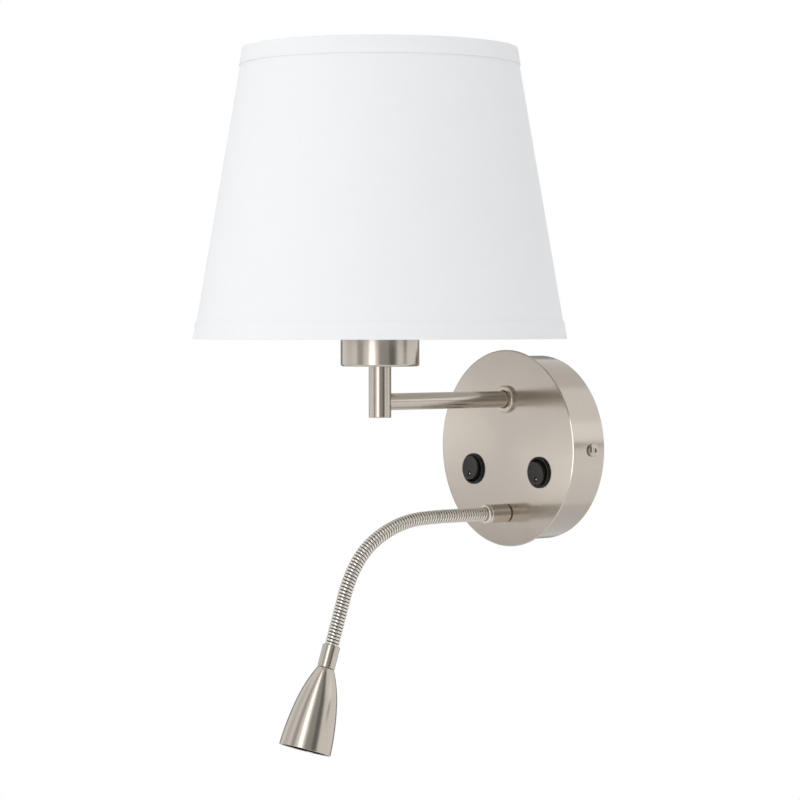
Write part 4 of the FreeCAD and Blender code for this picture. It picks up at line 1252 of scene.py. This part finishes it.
@dataclass
class Shade:
    """Cloth cone on a stiff lining, with edge trims, wire rings and a spider."""

    trim: float = 0.0008
    cloth: float = 0.0006
    lining: float = 0.0004
    trim_high: float = 0.0122
    overlap: float = 0.009
    seam_thick: float = 0.0003
    spoke: float = 0.0013
    steps: int = 256

    def __post_init__(self) -> None:
        """Read the cone from the frame."""
        self.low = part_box("shade_lower_trim")[0].z
        self.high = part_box("shade_upper_trim")[1].z
        self.wide = extent("shade_lower_trim").x / 2
        self.tall = self.high - self.low
        self.wide = max(self.wide, extent("shade_fabric").x / 2 + self.trim)
        self.slope = (self.wide - self.top_radius()) / self.tall
        self.linen = Linen("white_linen", "white_cloth", FULL_TURN * self.radius(0, self.tall / 2))

    def top_radius(self) -> float:
        """The cone's outer radius at its upper edge, from the upper ring's box."""
        low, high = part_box("shade_upper_trim")
        lower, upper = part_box("shade_lower_trim")
        wide_low = (upper.x - lower.x) / 2
        wide_high = (high.x - low.x) / 2
        run = low.z - lower.z
        slope = (wide_low - wide_high) / run
        return wide_high - slope * (high.z - low.z)

    def radius(self, inset: float, above: float) -> float:
        """The cone's radius less an inset, at a height above its lower edge."""
        return self.wide - above * self.slope - inset

    def point(self, inset: float, above: float) -> tuple[float, float]:
        """An outline point of the cone."""
        return self.radius(inset, above), self.low + above

    def band(self, near: float, far: float, low: float, high: float) -> Outline:
        """The outline of a band between two insets and two heights."""
        return [self.point(far, low), self.point(near, low), self.point(near, high),
                self.point(far, high)]

    def cover(self) -> list[bpy.types.Object]:
        """The cloth, the lining behind it and the rolled trims at both edges."""
        tall = self.tall
        hem = 0.0003
        cloth_in = self.trim + self.cloth
        cloth = finish_piece(
            "shade_cloth", turned(self.band(self.trim, cloth_in, hem, tall - hem), self.steps,
                                  0.0001, segments=2),
            on_post(), self.linen, nodes=["shade_fabric"])
        finish_piece(
            "shade_lining", turned(self.band(cloth_in, cloth_in + self.lining, hem, tall - hem),
                                   self.steps, 0.0),
            on_post(), LINING, nodes=["shade_liner"])
        trims = []
        fold, tuck = 0.0003, 0.006
        inside = cloth_in + self.lining
        for name, edge, way in (("lower", 0.0, 1), ("upper", tall, -1)):
            top = edge + way * self.trim_high
            outline = [
                self.point(self.trim, top), self.point(0.0, top),
                self.point(0.0, edge + way * fold), self.point(0.0006, edge),
                self.point(inside, edge), self.point(inside + fold, edge + way * fold),
                self.point(inside + fold, edge + way * tuck), self.point(inside, edge + way * tuck),
                self.point(inside, edge + way * fold), self.point(self.trim, edge + way * fold),
            ]
            trims.append(finish_piece(
                f"shade_{name}_binding", turned(outline, self.steps, 0.00015, segments=2),
                on_post(), self.linen, nodes=[f"shade_{name}_trim"]))
        return [cloth, *trims]

    def seam(self) -> bpy.types.Object:
        """The glued overlap of the cloth, on the side that faces the wall."""
        work = block((self.overlap, self.seam_thick, 1.0), (0, 0, 0), 0.00012)
        bmesh.ops.subdivide_edges(
            work, edges=[e for e in work.edges if abs((e.verts[0].co - e.verts[1].co).z) > 0.5],
            cuts=24)
        for vert in work.verts:
            above = self.trim_high + (vert.co.z + 0.5) * (self.tall - 2 * self.trim_high)
            ring = self.radius(self.trim, above) + vert.co.y + 0.00005
            bearing = vert.co.x / ring
            vert.co = Vector((ring * math.sin(bearing), ring * math.cos(bearing),
                              self.low + above))
        return finish_piece("shade_seam", work, on_post(), self.linen)

    def wires(self) -> None:
        """The two wire rings, the hub plate and its three spokes."""
        thick = extent("shade_lower_ring").z / 2
        for name in ("lower", "upper"):
            node = f"shade_{name}_ring"
            ring = extent(node).x / 2 - thick
            height = middle(node).z
            section = bow((ring + thick, height), (ring - thick, height), thick, 1, 12)
            section += bow((ring - thick, height), (ring + thick, height), thick, 1, 12)
            finish_piece(f"shade_{name}_wire", turned(section, 192, 0.0), on_post(), ENAMEL,
                         nodes=[node])
        low, high = (corner.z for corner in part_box("shade_hub"))
        edge = extent("shade_hub").x / 2
        hub = [(0.0191, low), (edge, low), (edge, high), (0.0191, high)]
        finish_piece("shade_hub_plate", turned(hub, 128, 0.0004), on_post(), ENAMEL,
                     nodes=["shade_hub"])
        spoke = self.spoke
        start = Vector((edge - 0.0015, 0, low + spoke + 0.0001))
        end = Vector((extent("shade_lower_ring").x / 2 - thick, 0, middle("shade_lower_ring").z))
        run = end - start
        aim = run.to_track_quat("Z", "Y").to_matrix().to_4x4()
        parts = []
        for number in range(3):
            rod = turned([(0.0, 0.0), (spoke, 0.0), (spoke, run.length), (0.0, run.length)], 32,
                         0.0003)
            rod.transform(Matrix.Translation(start) @ aim)
            rod.transform(Matrix.Rotation(math.radians(90 + 120 * number), 4, "Z"))
            parts.append(rod)
        finish_piece("shade_spoke_set", gathered(parts), on_post(), ENAMEL,
                     nodes=["shade_spokes"])

    def unrolled(self) -> tuple[tuple[float, float], float]:
        """The cloth laid flat: the size that holds its ring sector, and its area."""
        slant = math.hypot(self.tall, self.tall * self.slope)
        wide, narrow = self.radius(self.trim, 0), self.radius(self.trim, self.tall)
        outer = slant * wide / (wide - narrow)
        spread = FULL_TURN * wide / outer
        across = 2 * outer * math.sin(spread / 2)
        along = outer - (outer - slant) * math.cos(spread / 2)
        return (across, along), math.pi * (wide + narrow) * slant

    def build(self) -> None:
        """Make the shade and work out its cloth's size laid flat."""
        cloth, *trims = self.cover()
        seam = self.seam()
        self.wires()
        flat, area = self.unrolled()


@dataclass
class BendableNeck:
    """Ridged tube from the fitting on the plate to the spotlight's collar."""

    pitch: float = 0.00232
    depth: float = 0.00080
    around: int = 48
    profile: tuple = (0.0, 0.04, 0.12, 0.24, 0.38, 0.5, 0.62, 0.76, 0.88, 0.96, 1.0)
    tucked: float = 0.003
    groove: float = 0.0185

    def __post_init__(self) -> None:
        """Lay the neck's middle line through the joints of the frame."""
        joints = [j for j in frame["joints"] if j["name"].startswith("neck_")]
        order = {name: n for n, name in enumerate(self.bodies())}
        joints.sort(key=lambda j: order[j["child"]])
        self.pivots = [Vector(j["pos_m"]) for j in joints]
        self.axes = [Vector(j["axis"]) for j in joints]
        self.radius = extent("neck_link_1").x / 2
        low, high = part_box("neck_fitting")
        self.face = -low.y
        self.height = (low.z + high.z) / 2
        self.ways = [Vector((0, -1, 0))]
        self.lengths = []
        for near, far in zip(self.pivots, self.pivots[1:]):
            chord = (far - near).normalized()
            way = self.ways[-1]
            self.lengths.append(self.arc_length(way, far - near))
            self.ways.append((2 * chord.dot(way) * chord - way).normalized())
        self.lead = self.pivots[0].y * -1 - self.face
        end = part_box("neck_end")
        self.tail = self.reach(end, self.pivots[-1], self.ways[-1])

    @staticmethod
    def bodies() -> list[str]:
        """The neck's bodies in order, from the base to the spotlight."""
        return [BASE, *[f"neck_{n}" for n in range(1, 8)], "spotlight"]

    @staticmethod
    def arc_length(way: Vector, chord: Vector) -> float:
        """Length of the arc that leaves along way and spans a chord."""
        half = way.angle(chord)
        return chord.length if half < 1e-5 else chord.length * half / math.sin(half)

    def reach(self, box: tuple, origin: Vector, way: Vector) -> float:
        """How far a round bar along way reaches from origin, from its box."""
        tip = origin.z - box[0].z
        return (tip - self.radius * abs(way.y)) / abs(way.z)

    def spot(self, run: float) -> tuple[Vector, Vector]:
        """The middle line's point and direction at a distance from the fitting's face."""
        start = self.pivots[0] - self.ways[0] * self.lead
        left = run - self.lead
        if left <= 0:
            return start + self.ways[0] * run, self.ways[0]
        for index, length in enumerate(self.lengths):
            if left <= length:
                return self.on_arc(index, left)
            left -= length
        return self.pivots[-1] + self.ways[-1] * left, self.ways[-1]

    def on_arc(self, index: int, run: float) -> tuple[Vector, Vector]:
        """The point and direction on one link's arc."""
        way, after = self.ways[index], self.ways[index + 1]
        turn = way.angle(after)
        if turn < 1e-5:
            return self.pivots[index] + way * run, way
        radius = self.lengths[index] / turn
        inward = (after - way * way.dot(after)).normalized()
        angle = run / radius
        at = self.pivots[index] + way * radius * math.sin(angle)
        at += inward * radius * (1 - math.cos(angle))
        return at, way * math.cos(angle) + inward * math.sin(angle)

    def whole_length(self) -> float:
        """Length of the tube from the fitting's face to the collar."""
        return self.lead + sum(self.lengths) + self.tail

    def coil(self, start: float, stop: float) -> bmesh.types.BMesh:
        """A straight length of the wound tube that reaches past both of its ends.

        Args:
            start: Where the length begins, from the fitting's face.
            stop: Where it ends.

        Returns:
            The open tube about its own Z; every length is in step with the next.
        """
        first = math.floor(start / self.pitch) - 1
        turns = math.ceil(stop / self.pitch) + 1 - first
        work = bmesh.new()
        points = [
            work.verts.new((self.radius - self.depth * abs(2 * t - 1) ** 2.5, 0.0,
                            (first + t) * self.pitch)) for t in self.profile
        ]
        lines = [work.edges.new(pair) for pair in zip(points, points[1:])]
        bmesh.ops.spin(work, geom=points + lines, cent=(0, 0, 0), axis=(0, 0, 1),
                       dvec=(0, 0, self.pitch / self.around), angle=FULL_TURN,
                       steps=self.around, use_merge=False, use_duplicate=False)
        one_turn = work.verts[:] + work.edges[:] + work.faces[:]
        for number in range(1, turns):
            made = bmesh.ops.duplicate(work, geom=one_turn)["geom"]
            bmesh.ops.translate(work, vec=(0, 0, number * self.pitch),
                                verts=[g for g in made if isinstance(g, bmesh.types.BMVert)])
        bmesh.ops.remove_doubles(work, verts=work.verts, dist=0.00001)
        return work

    def stretch(self, start: float, stop: float) -> bmesh.types.BMesh:
        """One stretch of the tube, cut square and closed, and bent to the middle line."""
        work = self.coil(start, stop)
        for height, way in ((start, -1), (stop, 1)):
            geometry = work.verts[:] + work.edges[:] + work.faces[:]
            bmesh.ops.bisect_plane(work, geom=geometry, dist=1e-7, plane_co=(0, 0, height),
                                   plane_no=(0, 0, way), clear_outer=True)
            rim = [e for e in work.edges if e.is_boundary
                   and all(abs(v.co.z - height) < 1e-6 for v in e.verts)]
            bmesh.ops.contextual_create(work, geom=rim)
        bmesh.ops.recalc_face_normals(work, faces=work.faces)
        groove = work.verts.layers.float.new(GROOVE)
        for vert in work.verts:
            vert[groove] = (self.radius - vert.co.xy.length) / self.depth
            at, way = self.spot(vert.co.z)
            up = way.cross(Vector((1, 0, 0)))
            vert.co = at + Vector((1, 0, 0)) * vert.co.x - up * vert.co.y
        return work

    def tube(self) -> None:
        """The tube in stretches, each bent along the middle line round one joint of the frame."""
        # The neck's nickel is a lighter copy of the plain nickel: a painted highlight that
        # brightens the crests.
        finish = WoundNickel("neck_nickel", "nickel", Matrix(), light=(0.86, 0.81, 0.735),
                             dark=(0.76, 0.71, 0.64))
        breaks = [-self.tucked]
        run = self.lead
        for length in self.lengths:
            breaks.append(run + length / 2)
            run += length
        breaks.append(self.whole_length() + 0.001)
        bodies = self.bodies()
        for index, (start, stop) in enumerate(zip(breaks, breaks[1:])):
            work = self.stretch(start, stop)
            nodes = [["neck_root"], *[[f"neck_link_{n}"] for n in range(1, 8)]][index]
            if index == len(bodies) - 2:
                nodes = nodes + ["neck_end"]
            piece = finish_piece(f"neck_tube_{index + 1}", work, Matrix(), finish, None, nodes)
            bodies[index + 1]
            self.spot(max(start, 0.0))[0]
            self.spot(min(stop, self.whole_length()))[0]
            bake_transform(piece)

    def fitting(self) -> None:
        """The turned ferrule on the plate: a narrow gap at its foot and a fine groove."""
        plate = -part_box("front_plate")[0].y
        radius = extent("neck_fitting").x / 2
        length = self.face - plate
        start = -(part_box("neck_fitting")[1].y + plate)
        stud, bore = 0.0050, 0.0035
        rounded = 0.0011
        joint = radius - 0.0012
        outline = [
            (bore, start), *ridges(stud, 0.0004, start, -0.0020, 0.001), (stud, 0.0),
            (joint, 0.0), (joint, 0.0006), (radius - 0.0002, 0.0007), (radius, 0.0010),
            (radius, self.groove - 0.00045),
            (radius - 0.0004, self.groove - 0.0001), (radius - 0.0004, self.groove + 0.0001),
            (radius, self.groove + 0.00045), (radius, length - rounded),
            *bow((radius, length - rounded), (radius - rounded, length), rounded, 1, 6)[1:],
            (radius - rounded, length), (self.radius + 0.0001, length),
            (self.radius + 0.0001, 0.004), (bore, 0.004),
        ]
        place = off_wall(z=self.height, out=plate)
        # The ferrule's nickel is a lighter copy of the plain nickel: a painted highlight that
        # brightens the whole ferrule.
        finish = SatinNickel("fitting_nickel", "nickel", place, light=(0.72, 0.665, 0.59),
                             dark=(0.64, 0.59, 0.525))
        finish_piece("neck_ferrule", turned(outline, 96, 0.00008), place, finish,
                     nodes=["neck_fitting"])

    def build(self) -> None:
        """Make the fitting and the tube."""
        self.fitting()
        self.tube()


@dataclass
class Spotlight:
    """Bell-shaped head on the neck's end and the lamp parts inside it."""

    neck: BendableNeck
    body: str = "spotlight"
    collar_length: float = 0.0161
    length: float = 0.0592
    waist_at: float = 0.0230
    waist: float = 0.0140
    mouth: float = 0.0185
    wall: float = 0.0012
    sink_radius: float = 0.0124
    sink_foot: float = 0.0234
    board_foot: float = 0.0330
    board_top: float = 0.0346
    lens_foot: float = 0.0530
    lens_top: float = 0.0550
    lens_crown: float = 0.0556
    lens_radius: float = 0.0166

    def __post_init__(self) -> None:
        """Set the places of the collar and the head at the neck's end."""
        way = self.neck.ways[-1]
        end = self.neck.pivots[-1] + way * self.neck.tail
        self.collar_place = along_way(end, way)
        self.head_place = along_way(end + way * self.collar_length, way)

    def collar(self) -> None:
        """The short cylinder between the neck and the bell."""
        radius, bore, length = 0.0062, 0.0025, self.collar_length
        outline = [
            (bore, 0.0), (radius - 0.0006, 0.0),
            *bow((radius - 0.0006, 0.0), (radius, 0.0006), 0.0006, 1, 4)[1:], (radius, 0.0006),
            (radius, length - 0.0003), (radius - 0.0003, length), (bore, length),
        ]
        finish = SatinNickel("collar_nickel", "nickel", self.collar_place)
        finish_piece("spotlight_collar", turned(outline, 96, 0.0001), self.collar_place, finish,
                     self.body, ["head_collar"])

    def shell(self) -> None:
        """The bell, flaring from the collar to a thin rim."""
        root, bore, floor = 0.0060, 0.0025, 0.005
        lip = (self.mouth, self.length)
        inner_lip = (self.mouth - self.wall, self.length)
        outline = [
            (bore, 0.0), (root - 0.0005, 0.0),
            *bow((root, 0.0005), (self.waist, self.waist_at), 0.100, 1, 16),
            *bow((self.waist, self.waist_at), lip, 0.200, 1, 18), lip, inner_lip,
            *bow(inner_lip, (self.waist - self.wall, self.waist_at), 0.200, -1, 18)[1:],
            *bow((self.waist - self.wall, self.waist_at), (0.0058, floor), 0.100, -1, 12),
            (0.0058, floor), (bore, floor),
        ]
        finish = SatinNickel("bell_nickel", "nickel", self.head_place)
        finish_piece("spotlight_bell", turned(outline, 160, 0.00025), self.head_place, finish,
                     self.body, ["head_shell"])

    def heat_sink(self) -> None:
        """The ribbed aluminium plug behind the light board."""
        radius, low, high, bore = self.sink_radius, self.sink_foot, self.board_foot, 0.0015
        fins = 4
        pitch = (high - low) / (fins + 0.5)
        outline = [(bore, low)]
        for fin in range(fins):
            base = low + fin * pitch
            outline += [(radius, base), (radius, base + pitch * 0.55),
                        (radius - 0.004, base + pitch * 0.55), (radius - 0.004, base + pitch)]
        outline += [(radius, high - pitch * 0.5), (radius, high), (bore, high)]
        finish_piece("spotlight_heat_sink", turned(outline, 96, 0.0001), self.head_place, SINK,
                     self.body, ["heat_sink"])

    def light_source(self) -> None:
        """The board, the phosphor dot, the reflector, the lens and its ring."""
        place = self.head_place
        foot, top, glass = self.board_foot, self.board_top, self.lens_foot
        board = [(0.0, foot), (self.sink_radius, foot), (self.sink_radius, top), (0.0, top)]
        finish_piece("spotlight_board", turned(board, 96, 0.0002), place, BOARD, self.body,
                     ["led_board"])
        dot, dome = 0.0026, top + 0.0008
        chip = [(0.0, top), (dot, top), *bow((dot, top), (0.0, dome), 0.0046, 1, 8), (0.0, dome)]
        finish_piece("spotlight_light_dot", turned(chip, 48, 0.0), place, GLOW, self.body,
                     ["led_chip"])
        inner, outer = ((0.0040, top), (0.0156, glass)), ((0.0164, glass), (0.0048, top))
        cone = [*bow(*inner, 0.030, 1, 14), inner[1], *bow(*outer, 0.030, -1, 14), outer[1]]
        finish_piece("spotlight_reflector", turned(cone, 128, 0.0001), place, PEENED, self.body,
                     ["reflector"])
        edge, rise, crown = self.lens_radius, self.lens_top, self.lens_crown
        lens = [
            (0.0, glass), (edge, glass), (edge, rise - 0.0004), (edge - 0.0004, rise),
            *bow((0.0150, rise), (0.0, crown), 0.1900, 1, 16), (0.0, crown),
        ]
        clear = ClearLens("ringed_lens", "lens", place)
        finish_piece("spotlight_lens", turned(lens, 128, 0.0), place, clear, self.body, ["lens"])
        ring = [(0.0150, 0.0551), (0.0169, 0.0551), (0.0169, 0.0574), (0.0156, 0.0574)]
        # The black ring inside the bell's mouth is partly a baffle and partly painted shade that
        # darkens the mouth.
        baffle = [(0.01690, 0.0574), (0.01740, 0.0574), (0.01745, 0.0588), (0.01695, 0.0588)]
        finish_piece("spotlight_baffle", turned(baffle, 128, 0.0001), place, BEZEL, self.body)
        finish_piece("spotlight_lens_ring", turned(ring, 128, 0.0002), place, BLACK, self.body,
                     ["lens_ring"])

    def build(self) -> None:
        """Make the collar, the bell and what is inside it."""
        self.collar()
        self.shell()
        self.heat_sink()
        self.light_source()


@dataclass
class CanopyWiring:
    """The driver, the terminal block and the wires behind the face plate."""

    corner: float = 0.0020

    def driver(self) -> None:
        """The driver's casing with its snapped-on lid."""
        low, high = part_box("led_driver")
        size, centre = high - low, (low + high) / 2
        lid = 0.0022
        base_size = (size.x, size.y - lid - 0.0003, size.z)
        base = block(base_size, (centre.x, low.y + base_size[1] / 2, centre.z), 0.0)
        cover = block((size.x, lid, size.z), (centre.x, high.y - lid / 2, centre.z), 0.0)
        filler = block((size.x - 0.001, 0.0008, size.z - 0.001),
                       (centre.x, high.y - lid - 0.0002, centre.z), 0.0002)
        for shell in (base, cover):
            soften(shell, self.corner, 5,
                   lambda e: abs((e.verts[0].co - e.verts[1].co).normalized().y) > 0.99)
            soften(shell, 0.0003)
        finish_piece("driver_case", gathered([base, cover, filler]), Matrix(), DRIVER,
                     nodes=["led_driver"])

    def terminal_screws(self) -> None:
        """The three slotted screws in the terminal block's upper face."""
        low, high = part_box("terminal_block")
        centre = (low + high) / 2
        gap, radius, proud = (high.x - low.x) / 3, 0.0026, 0.0009
        parts = []
        for number in (-1, 0, 1):
            outline = [(0.0, 0.0), (radius, 0.0), (radius, proud), (0.0, proud)]
            head = turned(outline, 48, 0.0002)
            slot = block((radius * 1.7, 0.0006, 0.0002), (0, 0, proud + 0.00002), 0.00003)
            screw = gathered([head, slot])
            screw.transform(Matrix.Translation((number * gap, centre.y, high.z)))
            parts.append(screw)
        finish_piece("terminal_screws", gathered(parts), Matrix(), ZINC)

    def build(self) -> None:
        """Make the driver and the screws, and dress the block and the wires."""
        self.driver()
        self.terminal_screws()
        dress_nodes(NYLON, "terminal_block")
        dress_nodes(BROWN, "lamp_wire_live")
        dress_nodes(BLUE, "lamp_wire_neutral")
        dress_nodes(DARK, "spotlight_lead", "switch_lead_left", "switch_lead_right")


# ---- studio ---------------------------------------------------------------------------

@dataclass(frozen=True)
class Card:
    """One upright card of the studio's tent.

    Attributes:
        name: What it is called.
        bearing: Where it stands round the lamp, in degrees from the lamp's +X.
        width: How wide it looks from the lamp, in degrees.
        low: Its lower edge.
        high: Its upper edge.
        glow: How bright it is.
    """

    name: str
    bearing: float
    width: float
    low: float
    high: float
    glow: float


@dataclass(frozen=True)
class Flat:
    """One level card over or under the lamp: its centre, its size and how bright it is."""

    name: str
    centre: tuple[float, float, float]
    size: tuple[float, float]
    glow: float


@dataclass
class Studio:
    """White surroundings, a pale floor, soft light and the camera."""

    reach: float = 1.55
    floor_drop: float = 0.62
    floor_radius: float = 1.6
    white: float = 1.0
    key_size: float = 1.2
    key_power: float = 7.0
    key_at: tuple = (1.46, -0.80, 0.6)
    key_aim: tuple = (0, -0.15, 0.15)
    lens: float = 126.40
    camera_at: tuple = (1.54510, -1.41569, 0.09084)
    yaw: float = math.radians(50.38)
    pitch: float = math.radians(-1.53)
    cards: tuple = (
        Card("soft_box", -62.0, 17.0, -0.6, 3.4, 2.7),
        Card("left_card", -98.0, 20.0, -0.6, 3.4, 0.50),
        Card("front_card", -28.0, 31.0, -0.6, 3.4, 0.42),
        Card("dark_card", -3.5, 18.0, -0.6, 3.4, 0.17),
        Card("edge_card", 8.5, 6.0, -0.6, 3.4, 0.42),
        Card("right_card", 39.0, 13.0, 0.02, 0.13, 0.06),
        Card("right_soft_box", 44.0, 24.0, 0.14, 0.62, 1.2),
        Card("back_card", 141.5, 74.0, -0.60, 0.70, 0.30),
        Card("upper_left_card", -141.0, 26.0, 0.04, 1.2, 0.80),
        Card("lower_left_card", -141.0, 26.0, -0.6, -0.17, 0.62),
        Card("left_patch", -147.0, 4.6, -0.085, -0.01, 1.7),
        Card("right_patch", -137.0, 4.2, -0.15, -0.07, 1.7),
    )
    flats: tuple = (
        Flat("upper_back_card", (-0.45, 0.85, 1.0), (1.3, 1.0), 0.75),
        Flat("lower_back_card", (-0.45, 0.75, -0.6), (1.3, 1.1), 0.72),
    )

    def glowing(self, name: str, glow: float) -> bpy.types.Material:
        """A plain material that shines with one brightness."""
        desk = Desk(name)
        desk.shade(Base_Color=(0, 0, 0, 1), Roughness=1.0, Specular_IOR_Level=0.0,
                   Emission_Color=(1, 1, 1, 1), Emission_Strength=glow)
        return desk.material

    def hidden_sheet(self, name: str, work: bmesh.types.BMesh, glow: float) -> None:
        """A card that lights the lamp and shows in it, but not in the picture."""
        mesh = bpy.data.meshes.new(name)
        work.to_mesh(mesh)
        work.free()
        mesh.materials.append(self.glowing(name, glow))
        sheet = bpy.data.objects.new(name, mesh)
        bpy.context.scene.collection.objects.link(sheet)
        sheet.visible_camera = False

    def tent(self) -> None:
        """The upright cards, each a curved strip round the lamp, and the level ones."""
        centre = middle("post_tube")
        for card in self.cards:
            spans = 8
            work = bmesh.new()
            bmesh.ops.create_grid(work, x_segments=spans, y_segments=1, size=0.5)
            for vert in work.verts:
                angle = math.radians(card.bearing + vert.co.x * card.width)
                height = card.low + (vert.co.y + 0.5) * (card.high - card.low)
                vert.co = Vector((centre.x + self.reach * math.cos(angle),
                                  centre.y + self.reach * math.sin(angle), height))
            self.hidden_sheet(card.name, work, card.glow)
        for flat in self.flats:
            work = bmesh.new()
            bmesh.ops.create_grid(work, x_segments=1, y_segments=1, size=0.5)
            bmesh.ops.scale(work, vec=(*flat.size, 1.0), verts=work.verts)
            bmesh.ops.translate(work, vec=flat.centre, verts=work.verts)
            self.hidden_sheet(flat.name, work, flat.glow)

    def floor(self) -> None:
        """A plain pale floor well below the lamp."""
        work = bmesh.new()
        bmesh.ops.create_circle(work, cap_ends=True, radius=self.floor_radius, segments=96,
                                matrix=Matrix.Translation((0, -0.15, -self.floor_drop)))
        mesh = bpy.data.meshes.new("studio_floor")
        work.to_mesh(mesh)
        work.free()
        desk = Desk("pale_floor")
        desk.shade(Base_Color=(0.86, 0.86, 0.86, 1), Roughness=0.9, Specular_IOR_Level=0.1,
                   Emission_Color=(1, 1, 1, 1), Emission_Strength=0.16)
        mesh.materials.append(desk.material)
        floor = bpy.data.objects.new("studio_floor", mesh)
        bpy.context.scene.collection.objects.link(floor)

    def world(self) -> None:
        """Even white surroundings."""
        world = bpy.data.worlds.new("white_room")
        bpy.context.scene.world = world
        world.use_nodes = True
        background = next(n for n in world.node_tree.nodes if n.type == "BACKGROUND")
        background.inputs["Color"].default_value = (1, 1, 1, 1)
        background.inputs["Strength"].default_value = self.white
        bpy.context.scene.view_settings.view_transform = "Standard"

    def key(self) -> None:
        """A large soft light from the right that does not show in the metal."""
        light = bpy.data.lights.new("key_light", "AREA")
        light.shape = "RECTANGLE"
        light.size = self.key_size
        light.size_y = self.key_size
        light.energy = self.key_power
        lamp = bpy.data.objects.new("key_light", light)
        lamp.location = self.key_at
        aim = Vector(self.key_aim) - lamp.location
        lamp.rotation_euler = aim.to_track_quat("-Z", "Y").to_euler()
        lamp.visible_glossy = False
        lamp.visible_camera = False
        bpy.context.scene.collection.objects.link(lamp)

    def camera(self) -> None:
        """The camera, a long lens to the right of the lamp at the shade's lower edge."""
        data = bpy.data.cameras.new("camera")
        data.sensor_width = 36.0
        data.lens = self.lens
        data.clip_end = 20.0
        camera = bpy.data.objects.new("camera", data)
        camera.location = self.camera_at
        level = math.cos(self.pitch)
        way = Vector((-math.sin(self.yaw) * level, math.cos(self.yaw) * level,
                      math.sin(self.pitch)))
        camera.rotation_euler = way.to_track_quat("-Z", "Y").to_euler()
        bpy.context.scene.collection.objects.link(camera)
        bpy.context.scene.camera = camera

    def build(self) -> None:
        """Set up everything round the lamp."""
        self.world()
        self.floor()
        self.tent()
        self.key()
        self.camera()


def main() -> None:
    """Build the lamp and its studio in order."""
    logging.basicConfig(level=logging.INFO, format="%(name)s %(message)s")
    Studio().build()
    Canopy().build()
    for side in ("left", "right"):
        RockerSwitch(side).build()
    ArmAndPost().build()
    Lampholder().build()
    Shade().build()
    neck = BendableNeck()
    neck.build()
    Spotlight(neck).build()
    CanopyWiring().build()


if __name__ == "__main__":
    main()
